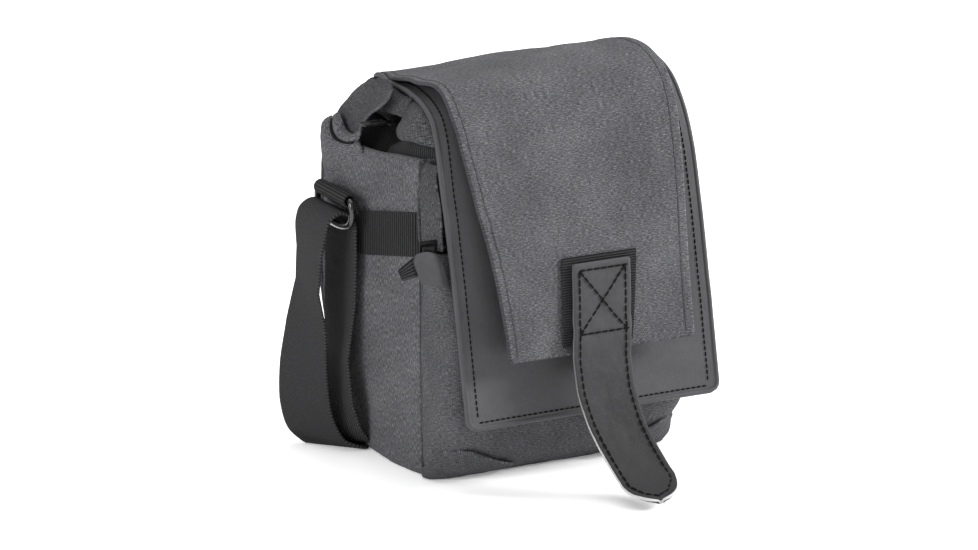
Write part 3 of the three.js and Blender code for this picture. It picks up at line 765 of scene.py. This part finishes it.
def cast(name, blocks, look):
    """Several (low, high, round edge) blocks as one part."""
    solid = bmesh.new()
    for block in blocks:
        piece = cast_block("block", *block, look)
        solid.from_mesh(piece.data)
        bpy.data.objects.remove(piece)
    mesh = bpy.data.meshes.new(name)
    solid.to_mesh(mesh)
    solid.free()
    mesh.materials.append(look)
    mesh.shade_smooth()
    return add_object(name, mesh)


def box_mm(node):
    low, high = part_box(node)
    return np.array(low) / MM, np.array(high) / MM


lo, hi = box_mm("main_zip_slider")
main_slider = cast("main_slider", [
    (lo, (hi[0], hi[1], lo[2] + 1.3), 0.5),
    ((lo[0] + 3, lo[1] + 3.2, lo[2] + 1.0), (hi[0] - 3, hi[1] - 3.2, hi[2] - 0.2), 0.8),
    ((lo[0] + 0.4, lo[1] + 3.2, hi[2] - 1.4), (hi[0] - 3, hi[1] - 3.2, hi[2]), 0.6)], cast_black)
settle(main_slider, "zip_slider_main", "black_metal", "main_zip_slider")
lo, hi = box_mm("main_zip_pull")
main_pull = cast("main_pull", [
    ((lo[0] + 3, lo[1], lo[2]), (lo[0] + 9, hi[1], hi[2]), 0.75),
    ((lo[0] + 8.5, lo[1], lo[2]), (hi[0], lo[1] + 2.4, hi[2]), 0.7),
    ((lo[0] + 8.5, hi[1] - 2.4, lo[2]), (hi[0], hi[1], hi[2]), 0.7),
    ((hi[0] - 1.8, lo[1], lo[2]), hi, 0.7)], cast_black)
settle(main_pull, "zip_pull_main", "black_metal", "main_zip_pull")
lo, hi = box_mm("pocket_zip_slider")
pocket_slider = cast("pocket_slider", [
    ((lo[0], hi[1] - 1.4, lo[2]), hi, 0.5),
    ((lo[0] + 3, lo[1] + 0.4, lo[2] + 3.2), (hi[0] - 3, hi[1] - 1.0, hi[2] - 3.2), 0.8),
    ((lo[0] + 0.6, lo[1], lo[2] + 2.4), (hi[0] - 2.5, lo[1] + 1.5, hi[2] - 2.4), 0.6)], cast_black)
settle(pocket_slider, "zip_slider_pocket", "black_metal", "pocket_zip_slider")
print("sliders cast")

# %% Leather pull of the pocket zip, with its ribbed tape tail
pull_curves = [[(-94, -60.6, 142.4), (-88, -61.3, 143.0), (-82.5, -60.9, 141.4)],
               [(-96.2, -61.8, 139.4), (-88.5, -62.9, 139.4), (-80, -62.2, 137.6)],
               [(-94.8, -63.4, 133.0), (-87, -65.0, 132.4), (-77.6, -64.2, 130.2)],
               [(-92.8, -65.1, 126.6), (-85.5, -66.8, 125.0), (-76.6, -66.2, 121.8)]]
leather_pull = sheet("pocket_pull", skin(pull_curves, 26, 22), 1.5, pull_hide)
settle(leather_pull, "zip_pull_pocket", "tab_leather", "pocket_zip_pull")
tail_curves = [[(-95, -60.4, 141.0), (-101.5, -61.5, 137.9), (-106.2, -62, 135.1)],
               [(-94.4, -61.4, 135.8), (-100.7, -62.5, 133.9), (-105.4, -63, 132.3)],
               [(-94.2, -62.2, 131.0), (-100.0, -63.5, 130.5), (-104.7, -64, 130.1)]]
tape_tail = sheet("pocket_pull_tape", skin(tail_curves, 14, 16), 1.4, rib_tape)
settle(tape_tail, "zip_pull_pocket", "grosgrain")
print("pocket pull folded")

# %% [markdown]
# ## Top closure and the loose collar
# Above the side walls the canvas is not padded, so it folds in on itself under the flap. The
# folds are separate curved sheets with a dark hollow between them, where the zip ends. The
# hollow's darkness is painted shade: a near-black sheet in it and a near-black cord at its edge.
# %% Top panels and main zip
front_view = [(-36, 191.6), (-33, 196), (-20, 200.2), (2, 200.4)]
rear_view = [(62, 204), (42, 201.6), (16, 200.4)]
for end, view, rows, seed in (("front", front_view, 16, 2.0), ("rear", rear_view, 14, 4.0)):
    grid = crumple(crossways((-69.5, 0, 69.5), view, rows, 40), 0.5, 26, seed)
    settle(sheet(f"top_{end}", grid, 2.0, fold_painted_shade_canvas), "bag", "canvas", f"top_panel_{end}")
main_coil = zip_coil("main_coil", (-69.5, 9, 198.5), (69.5, 9, 198.5), (0, 1, 0), (0, 0, 1))
settle(main_coil, "bag", "zip_coil", "main_zip_chain")
tape_grid = crossways((-70.5, 0, 70.5), [(y, 197.6) for y in (-8, 9, 26)], 12, 90)
settle(sheet("main_tape", tape_grid, 0.8, zip_cloth, turn=True), "bag", "zip_tape", "main_zip_tape")
print("top closed by its zip")

# %% Collar folds
collar_folds = {
    "rear": [
        [(85, 65, 186.4), (84, 58, 197.7), (82, 50, 206.5), (79, 40, 216.2), (76, 34.5, 220),
        (71, 30, 222)], [(85, 57.5, 182), (84.5, 47.8, 192.8), (83, 39, 202.5), (80.5, 29.5, 211.6),
        (77.5, 24, 217.3), (70, 22, 222)], [(84.5, 31, 186.6), (85, 27, 196.5), (84, 18.8, 205.2),
        (81.5, 9.6, 212), (78, 6.2, 217.2), (72, 14.2, 221.8)]],
    "ear": [
        [(91, 63, 163.4), (92, 64.4, 182.6), (91.5, 62.6, 191.5), (88, 60.4, 194.6)], [(93.2, 45, 167),
        (94.4, 53, 179.6), (94, 55, 188.7), (90.5, 55.4, 191.8)], [(92.3, 32.6, 169), (94, 39.4, 179),
        (93.5, 44.3, 184), (90, 47.4, 185.2)], [(90.4, 23.3, 171), (92.5, 26.8, 180), (92.5, 29.3, 184.4),
        (89.5, 32.7, 185.6)], [(88.2, 14.8, 174), (89.8, 15.3, 182.6), (90, 18.7, 187.2), (88, 24, 188.7)]],
    "lip": [
        [(89, 55.8, 193.3), (90, 52.4, 197), (88, 51, 199)], [(89.5, 55, 188.2), (92, 45, 193.8),
        (89, 45, 195.8)], [(89.5, 49.7, 184.3), (92.5, 38.3, 190), (89, 40, 191.6)], [(89, 37.6, 184.4),
        (92, 27.6, 189.8), (88.5, 30.7, 190.7)], [(87.5, 26.3, 187.5), (90, 19.3, 193), (87.5, 22.3, 195)]],
    "middle": [
        [(60, 41.7, 217.8), (54, 35.5, 216), (54, 15, 215.3)], [(76, 14, 215.8), (71, 7.3, 215),
        (67, -6.3, 215.8)], [(77, 21, 208), (75, 8.4, 208), (72, -2, 207.5)], [(72, 26, 206.5),
        (70, 14, 206.5), (68, 2, 206.5)]],
    "front": [
        [(70, -7.2, 218.7), (58, 9.9, 216.3), (58, 4.8, 216.3)], [(76.5, -12.2, 210.6), (73, -21.7, 214),
        (67, -27.6, 214)], [(79, -8.2, 201.7), (76, -25, 206.4), (68, -36.9, 205.9)], [(78.5, -10.3, 197.4),
        (76, -30, 199.3), (69, -43.7, 197.6)], [(74.5, -9.5, 196.7), (72, -27.2, 198.8), (68, -41.8, 197.6)]],
    "tape": [
        [(74, 9.4, 187.4), (71, -12.7, 196.4), (66, -36.7, 197.3)], [(77, 8.6, 183.7), (74.5, -18.2, 191),
        (68, -41.7, 193)], [(77, 8.3, 177.4), (74.5, -19.8, 180.3), (70, -46.7, 183.7)]],
    # The hollow sheet is a near-black sheet in the dark hollow under the flap: painted shade.
    "inside": [
        [(67.5, 44, 214), (62, 10, 217), (60, -30, 208)], [(65.5, 46, 200), (62, 10, 200), (60, -34, 198)],
        [(80, 46, 184), (80, 10, 181), (75.5, -34, 182)]],
}
# A near-black cord along the fold line where the outer roll shades the inner band: a painted shadow.
collar_painted_shadow_path = [
    (91, 52.4, 195.6), (92.2, 51.3, 191.2), (92.6, 47.3, 187.3), (92.3, 42, 185.5), (91.6, 33.7, 185.6),
    (90.6, 25.3, 187.5)]
collar_seam = [
    (86, 28, 188.7), (86.5, 23.6, 197.6), (85.5, 15.2, 206.3), (83, 6, 213), (79.5, 2.6, 218.2),
    (75, 6.7, 221.4)]
# name: rows and columns, height of the swells, thickness, finish and slot
collar_finish = {
    "rear": ((26, 48), 0.8, 2.0, fold_painted_shade_canvas, "canvas"),
    "ear": ((34, 26), 0.5, 2.2, canvas_side, "canvas"),
    "lip": ((26, 12), 0.3, 1.8, canvas_side, "canvas"),
    "middle": ((22, 22), 0.6, 1.6, fold_painted_shade_canvas, "canvas"),
    "front": ((26, 24), 0.6, 2.0, fold_painted_shade_canvas, "canvas"),
    "tape": ((14, 30), 0.0, 1.2, zip_cloth, "zip_tape"),
    "inside": ((16, 20), 0.0, 1.4, painted_shade_cloth, "canvas"),
}
for side, sign in (("left", -1), ("right", 1)):
    for name, (detail, swell, thick, look, slot) in collar_finish.items():
        if name == "inside" and side == "right":
            continue
        grid = crumple(skin([sided(row, sign) for row in collar_folds[name]], *detail), swell * sign, 17, 9.0)
        fold = sheet(f"collar_{name}_{side}", grid, thick, look, turn=name == "tape")
        settle(fold, "bag", slot, *([f"collar_{side}"] if name == "rear" else []))
    for name, line, radius, look in (("seam", collar_seam, 1.0, canvas_side),
                                     ("shadow_cord", collar_painted_shadow_path, 1.3, painted_shade_cloth)):
        cord = smooth_line(sided(line, sign), 40)
        settle(tube(f"collar_{name}_{side}", cord, radius, look), "bag", "canvas")
print("collars folded on both sides")

# %% [markdown]
# ## Flaps
# Two flaps hang from the hem at the back: smooth hide below, canvas above. Each is one long sheet
# whose side view is a line over the top of the bag, and each gets wider or narrower as it falls.
# %% Leather flap
leather_line = [(70.5, 213.4), (65, 215), (46, 218), (20, 227), (0, 231), (-20, 230), (-36, 221.6),
                (-46, 207), (-54, 184), (-63, 150), (-72, 107), (-79.5, 67), (-85, 42)]
canvas_line = [(66, 217.8), (46, 221.8), (20, 231), (0, 235), (-20, 234.2), (-38, 226.4), (-50, 211),
               (-60.5, 186), (-73, 152), (-84.5, 112), (-91.6, 80.6)]


def hanging_flap(outline, half_of, drift, columns, rows, edge_curl, droop, corner, height, size, seed):
    """A long sheet over the bag, in millimetres: its half width, edge curl and droop are functions
    of the share of the way down (0 to 1) and across (-1 to 1)."""
    middle = smooth_line([(0, y, z) for y, z in outline], rows) / MM
    t = np.linspace(0, 1, rows)[:, None]
    share = np.linspace(-1, 1, columns)[None, :]
    lower = np.clip(1 - (middle[-1, 2] - middle[:, 2:3]) / -corner, 0, 1)
    half = half_of(t) - corner * (1 - np.sqrt(1 - lower ** 2))
    x = half * share + drift[0] + (drift[1] - drift[0]) * t
    grid = np.stack([x, middle[:, 1:2] + 0 * x, middle[:, 2:3] - droop(t, share)], 2) * MM
    grid = grid + facing(grid) * (edge_curl(t, share) * MM)[:, :, None]
    return crumple(grid, height, size, seed)


def front_out(grid):
    """The grid with its columns reversed if its faces would look into the bag."""
    return grid[:, ::-1] if facing(grid)[len(grid) // 2, grid.shape[1] // 2, 1] > 0 else grid


def leather_half(t):
    return 60 + 8 * ease(t, 0.0, 0.16) + 14 * ease(t, 0.05, 0.55)


def leather_droop(t, s):
    """The flap sags where the collar under it is soft, most of all at its left edge."""
    over = ease(t, 0.02, 0.2) * (1 - ease(t, 0.3, 0.46))
    edge = ease(t, 0.12, 0.28) * (1 - ease(t, 0.38, 0.52)) * ease(-s, 0.7, 1.0)
    return 7.0 * over * (1 - ease(s, -0.9, 0.8)) + 5.0 * edge


def leather_curl(t, s):
    return 1.2 * np.abs(s) ** 6 * ease(t, 0.45, 1.0)


leather_grid = hanging_flap(leather_line, leather_half, (6, 8), 70, 190, leather_curl, leather_droop,
                            corner=5.0, height=0.7, size=60, seed=1.0)
leather_grid = front_out(leather_grid)
leather_flap = sheet("leather_flap_hide", leather_grid, 2.2, flap_hide, bound_edge)
settle(leather_flap, "under_flap", "under_flap_leather", "leather_flap")

# %% Bound edge and stitching of the leather flap
def inset_line(grid, share, side, first=0.0, last=1.0, count=240):
    """A line on a sheet, set in from one side edge by a distance in metres."""
    rows = np.linspace(first, last, count) * (len(grid) - 1)
    normal = facing(grid)
    line, ups = [], []
    for r in rows:
        i = int(round(r))
        row, n = grid[i], normal[i]
        along = travelled(row)
        at = share if side == 0 else along[-1] - share
        line.append(sample(at, along, row))
        ups.append(sample(at, along, n))
    return np.array(line), np.array(ups)


def lifted(pair, height):
    line, ups = pair
    return line + ups * height * MM, ups


def hem_line(grid, share, margin):
    """A line across a sheet near its lower edge."""
    along = travelled(grid[:, 0])
    i = int(np.searchsorted(along, along[-1] - share))
    row, n = grid[i], facing(grid)[i]
    run = travelled(row)
    at = np.linspace(margin, run[-1] - margin, 160)
    return sample(at, run, row), sample(at, run, n)


leather_lines = [lifted(inset_line(leather_grid, 0.006, side, 0.03, 0.978), 1.15) for side in (0, 1)]
leather_lines.append(lifted(hem_line(leather_grid, 0.006, 0.006), 1.15))
settle(stitches("leather_stitches", leather_lines, thread, pitch=3.5, length=3.1, radius=0.5), "under_flap",
       "under_flap_leather")
outline = np.vstack([leather_grid[2:, 0], leather_grid[-1, 1:], leather_grid[2:-1, -1][::-1]])
rim = even(outline, 420)
settle(tube("leather_binding", rim, 1.75, bound_edge, sides=12), "under_flap", "under_flap_leather")
print("leather flap bound and stitched")

# %% Canvas flap
def canvas_half(t):
    return 58 + 9 * ease(t, 0.0, 0.18) + 5 * ease(t, 0, 0.3) - 12.3 * ease(t, 0.4, 1)


def canvas_droop(t, s):
    return 7.5 * (0.35 + 0.65 * ease(t, 0.0, 0.2)) * (1 - ease(t, 0.27, 0.42)) * (1 - ease(s, -0.8, 0.8))


def canvas_curl(t, s):
    return 0.8 * np.abs(s) ** 5 * ease(t, 0.3, 1.0)


canvas_grid = hanging_flap(canvas_line, canvas_half, (6, 9.2), 70, 180, canvas_curl, canvas_droop,
                           corner=1.2, height=1.1, size=45, seed=14.0)
canvas_grid = front_out(canvas_grid)
canvas_flap = sheet("canvas_flap_cloth", canvas_grid, 2.4, canvas)
settle(canvas_flap, "top_flap", "canvas", "canvas_flap")
canvas_seams = [lifted(inset_line(canvas_grid, 0.0045, side, 0.02, 0.99), 1.0) for side in (0, 1)]
for side, (line, ups) in zip(("left", "right"), canvas_seams):
    settle(tube(f"canvas_seam_{side}", even(line, 200), 0.55, fold_painted_shade_canvas, sides=8), "top_flap", "canvas")

# %% Hem at the back
hem_grid = crossways((-56, 6, 68), [(71.6, 188), (71.8, 200), (71.4, 211.4)], 14, 50)
settle(sheet("flap_hem_canvas", hem_grid, 2.0, canvas), "bag", "canvas", "flap_hem")
hem_rows = [smooth_line([(-54, 73.0, z), (66, 73.0, z)], 120) for z in (190.5, 209)]
hem_thread = stitches("hem_stitches", [(row, np.tile([0, 1, 0], (120, 1))) for row in hem_rows], thread)
settle(hem_thread, "bag", "canvas")
print("hem sewn with", len(hem_rows), "rows")

# %% [markdown]
# ## Pull tab
# The tab is one strip of thick hide: its upper part is sewn to a ribbed patch with a box and
# cross, and its tail curls away to the floor. The cut edge is pale because it is not dyed.
# It bends at the canvas flap's hem, so it is blended between the flap and the tail.
# %% Tab patch
def beside(outline, top, bottom, offset, count):
    """The part of a side-view line between two heights, moved outwards, in millimetres."""
    line = smooth_line([(0, y, z) for y, z in outline], 400) / MM
    start = int(np.argmax(line[:, 1] < -45))
    line = line[start:]
    line = line[(line[:, 2] <= top) & (line[:, 2] >= bottom)]
    run = np.gradient(line, axis=0)
    run /= np.linalg.norm(run, axis=1, keepdims=True)
    out = np.stack([0 * run[:, 0], run[:, 2], -run[:, 1]], 1)
    return even(line + out * offset, count)


TAB_X, TAB_HALF = 10.0, 17.9
tab_drift = [(129, 12.3), (94, 8.2), (88, 6.4), (77, 5.6), (58, 6.7), (40, 9.8), (25.5, 13.2), (12, 15.8),
             (5, 14.5)]
patch_mid = beside(canvas_line, 133, 84, 2.2, 24)
down = np.linspace(0, 1, 24)
patch_x = np.linspace(-1, 1, 40)[None, :] * (24.1 - 1.6 * down)[:, None] + (TAB_X + 2.8 - 6.8 * down)[:, None]
patch_grid = np.stack([patch_x, patch_mid[:, 1:2] + 0 * patch_x, patch_mid[:, 2:3] + 0 * patch_x], 2) * MM
settle(sheet("tab_patch_tape", patch_grid, 1.2, patch_tape), "top_flap", "grosgrain", "tab_patch")
print("patch is", round(length_of(patch_grid[0]), 4), "m wide at its top")

# %% Tab
tab_top = beside(canvas_line, 129, 94, 4.6, 24)
tail_line = [(-97.0, 88), (-98.6, 77), (-101.6, 58), (-108, 40), (-118.5, 25), (-134, 12), (-152, 5)]
tab_mid = smooth_line(np.vstack([tab_top[::4], [(0, y, z) for y, z in tail_line]]), 150) / MM
share = np.linspace(0, 1, 150)
tip = np.clip((share - 0.86) / 0.14, 0, 1)
half = TAB_HALF * np.sqrt(np.maximum(0.02, 1 - tip ** 2.2)) * (1 - 0.05 * ease(share, 0.3, 0.8))
wide = np.linspace(-1, 1, 34)
cup = 1.0 * ease(share, 0.45, 0.9)
heights, sway = zip(*reversed(tab_drift))
tab_centre = np.interp(tab_mid[:, 2], heights, sway)
tab_columns = [tab_mid + np.stack([tab_centre + half * w, 0 * half, cup * w * w], 1) for w in wide]
tab_grid = np.stack(tab_columns, 1) * MM
tab_grid = front_out(tab_grid)
tab = sheet("pull_tab_hide", crumple(tab_grid, 0.5, 20, 30.0), 2.4, tab_hide, raw_edge)
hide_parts("tab_base", "pull_tab")
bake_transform(tab)

# %% Tab stitching
def on_tab(path, lift=1.45):
    """Points given as (across from -1 to 1, down from 0 to 1), laid on the tab."""
    normal = facing(tab_grid)
    line, ups = [], []
    for (a0, d0), (a1, d1) in zip(path, path[1:]):
        for t in np.linspace(0, 1, 60):
            a, d = a0 + (a1 - a0) * t, d0 + (d1 - d0) * t
            r = d * (len(tab_grid) - 1)
            c = (a + 1) / 2 * (tab_grid.shape[1] - 1)
            i, j = min(int(r), len(tab_grid) - 2), min(int(c), tab_grid.shape[1] - 2)
            fr, fc = r - i, c - j
            point = ((1 - fr) * (1 - fc) * tab_grid[i, j] + fr * (1 - fc) * tab_grid[i + 1, j]
                     + (1 - fr) * fc * tab_grid[i, j + 1] + fr * fc * tab_grid[i + 1, j + 1])
            up = normal[i, j]
            line.append(point + up * lift * MM)
            ups.append(up)
    return np.array(line), np.array(ups)


SEAM, TOP, FOOT = 0.84, 0.02, 0.262
top_left, top_right, foot_left, foot_right = (-SEAM, TOP), (SEAM, TOP), (-SEAM, FOOT), (SEAM, FOOT)
box = [on_tab(ends) for ends in ([top_left, top_right], [foot_left, foot_right], [top_left, foot_right],
                                 [top_right, foot_left], [top_left, foot_left], [top_right, foot_right])]
around = on_tab([foot_left, (-SEAM, 0.90), (-0.6, 0.955), (0, 0.975), (0.6, 0.955), (SEAM, 0.90), foot_right])
thick_thread = {"pitch": 4.6, "length": 4.3, "radius": 0.55}
settle(stitches("tab_box_stitches", box, thread, **thick_thread), "top_flap", "tab_leather")
tail_thread = stitches("tab_tail_stitches", [around], thread, **thick_thread)
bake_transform(tail_thread)
print("tab sewn with a box, a cross and an edge row")

# %% [markdown]
# ## Side bands, ring tabs and D-rings
# A ribbed tape crosses each side. Above it a doubled tape holds a D-ring of round wire.
# %% Side bands
for side, sign in (("left", -1), ("right", 1)):
    rows = []
    for y in np.linspace(-36.5, 62, 40):
        middle = 146 - 0.19 * (y + 33.7)
        reach = float(side_reach(y, 140)) + 1.2 - 3.0 * float(1 - ease(y, -38, -31))
        rows.append([(sign * reach, y, middle + dz) for dz in (-12.5, -6, 0, 6, 12.5)])
    band_grid = np.stack([smooth_line(row, 16) for row in rows], 0)
    settle(sheet(f"side_tape_{side}", band_grid, 1.5, rib_tape), "bag", "grosgrain", f"side_band_{side}")
print("side bands laid")

# %% Rings and their tabs
RING_X, RING_Y, RING_TOP = 102.0, 28.0, 158.0
for side, sign in (("left", -1), ("right", 1)):
    bow = [(0, 22.5 * math.cos(a), -4 - 14 * math.sqrt(max(math.sin(a), 0)))
           for a in np.linspace(0, math.pi, 25)]
    wire = [(0, -21.5, -1.2), (0, -19.5, 0), (0, 0, 0), (0, 19.5, 0), (0, 21.5, -1.2)] + bow
    wire = [(sign * RING_X + x, RING_Y + y, RING_TOP + z) for x, y, z in wire + wire[:1]]
    path = smooth_line(wire, 140)[:-1]
    ring = tube(f"ring_wire_{side}", path, 2.0, enamel, sides=16, closed=True)
    settle(ring, f"ring_{side}", "black_metal", f"d_ring_{side}")
    turn = [math.radians(a) for a in range(-140, 181, 20)]
    around_bar = [(RING_X - 5.6, RING_TOP - 8.5), (RING_X - 5.0, RING_TOP - 5.5)]
    around_bar += [(RING_X + 3.6 * math.cos(a), RING_TOP + 3.6 * math.sin(a)) for a in turn]
    around_bar += [(RING_X - 4.6, RING_TOP - 3.5)]
    ring_curves = [[(sign * x, y, z) for y in (9.2, 28, 46.8)] for x, z in around_bar]
    loop = sheet(f"ring_loop_{side}", skin(ring_curves, 56, 22), 1.5, rib_tape)
    settle(loop, "bag", "grosgrain", f"ring_tab_{side}")
print("rings hung")

# %% Strap slider
lo, hi = box_mm("strap_slider")
mid_z = (lo[2] + hi[2]) / 2
bars = [((hi[0] - 2.2, lo[1], z - 1.5), (hi[0], hi[1], z + 1.5), 0.8) for z in (lo[2] + 1.6, hi[2] - 1.6)]
bars.append(((lo[0], lo[1] + 1.5, mid_z - 1.5), (lo[0] + 2, hi[1] - 1.5, mid_z + 1.5), 0.8))
bars += [((lo[0], y, lo[2]), (hi[0], y + 2.4, hi[2]), 1.0) for y in (lo[1], hi[1] - 2.4)]
settle(cast("slider_frame", bars, enamel), "slider", "black_metal", "strap_slider")
print("slider cast")

# %% [markdown]
# ## Padded insert
# Inside is a box of foam pads covered in brushed lining, and a loose divider. Each pad is a
# closed slab inflated by a short cloth simulation, so its faces crown and its edges stay soft.
# %% Inflated pads
def inflate(name, node, body, cap):
    """A pad that stands for a node: no point swells by more than cap millimetres."""
    low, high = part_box(node)
    inset = Vector((0.0009, 0.0009, 0.0009))
    low, high = (Vector(low) + inset) / MM, (Vector(high) - inset) / MM
    pad = cast_block(name, low, high, 1.6, lining)
    remesh = pad.modifiers.new("even_faces", "REMESH")
    remesh.mode = "VOXEL"
    remesh.voxel_size = 0.0035
    apply_all(pad)
    rest = np.array([p.co for p in pad.data.vertices])
    cloth = pad.modifiers.new("inflate", "CLOTH")
    cloth.settings.use_pressure = True
    cloth.settings.uniform_pressure_force = 4
    cloth.settings.effector_weights.gravity = 0
    for step in range(1, 21):
        bpy.context.scene.frame_set(step)
    apply_all(pad)
    bpy.context.scene.frame_set(1)
    moved = np.array([p.co for p in pad.data.vertices]) - rest
    size = np.linalg.norm(moved, axis=1, keepdims=True)
    held = rest + moved * np.minimum(1, cap * MM / np.maximum(size, 1e-9))
    pad.data.vertices.foreach_set("co", held.ravel())
    points = np.array([p.co for p in pad.data.vertices])
    place = pad.data.attributes.new("cloth", "FLOAT_VECTOR", "POINT")
    flat = np.stack([points[:, 0] + points[:, 1], points[:, 2] + points[:, 1], points[:, 1]], 1)
    place.data.foreach_set("vector", flat.astype(np.float32).ravel())
    pad.modifiers.new("soften", "SUBSURF").levels = 1
    apply_all(pad)
    pad.data.shade_smooth()
    if not pad.data.materials:
        pad.data.materials.append(lining)
    settle(pad, body, "insert_lining", node)
    return pad


def apply_all(piece):
    """Bakes the piece's modifiers into its mesh."""
    ready = bpy.context.evaluated_depsgraph_get()
    mesh = bpy.data.meshes.new_from_object(piece.evaluated_get(ready))
    piece.modifiers.clear()
    piece.data = mesh


for node in ("pad_back", "pad_front", "pad_left", "pad_right", "floor_pad"):
    made = inflate(node + "_foam", node, "bag", 1.2)
made = inflate("divider_foam", "divider", "divider", 1.0)
print("pads inflated;", len(made.data.vertices), "points in the divider")

# %% Frame pieces that keep their shape
for node, look in (("base_board", board), ("loop_patch", hooks), ("hook_patch", hooks)):
    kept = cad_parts[node]
    kept.data.materials.clear()
    kept.data.materials.append(look)
print("kept the board and the two fastening patches")

# %% [markdown]
# ## Studio
# The bag stands on a white sweep under broad soft lamps, so that the only shadow is the dark
# line where it meets the floor.
# %% Floor and lamps
white, tree, surface = start_finish("white_sweep", 0.9)
surface.inputs["Base Color"].default_value = (0.97, 0.97, 0.97, 1)
surface.inputs["Emission Color"].default_value = (1, 1, 1, 1)
surface.inputs["Emission Strength"].default_value = 0.2
floor = make_mesh("floor", [(-6, -6, 0), (6, -6, 0), (6, 6, 0), (-6, 6, 0)], [(0, 1, 2, 3)], [white])


def soft_lamp(name, place, size, power):
    lamp = bpy.data.lights.new(name, "AREA")
    lamp.shape = "DISK"
    lamp.size = size
    lamp.energy = power
    aimed(add_object(name, lamp), Vector(place), Vector((0, 0, 0.1)))


soft_lamp("top_lamp", (0.3, 0.6, 3.2), 5.0, 115)
soft_lamp("right_lamp", (2.4, -1.1, 1.3), 0.8, 112)
soft_lamp("left_lamp", (-2.3, -0.5, 0.9), 1.2, 36)
room = bpy.data.worlds.new("white_room")
room.use_nodes = True
room.node_tree.nodes["Background"].inputs["Color"].default_value = (1, 1, 1, 1)
room.node_tree.nodes["Background"].inputs["Strength"].default_value = 0.47
bpy.context.scene.world = room
bpy.context.scene.view_settings.view_transform = "Standard"
print("floor, three lamps and a white room")
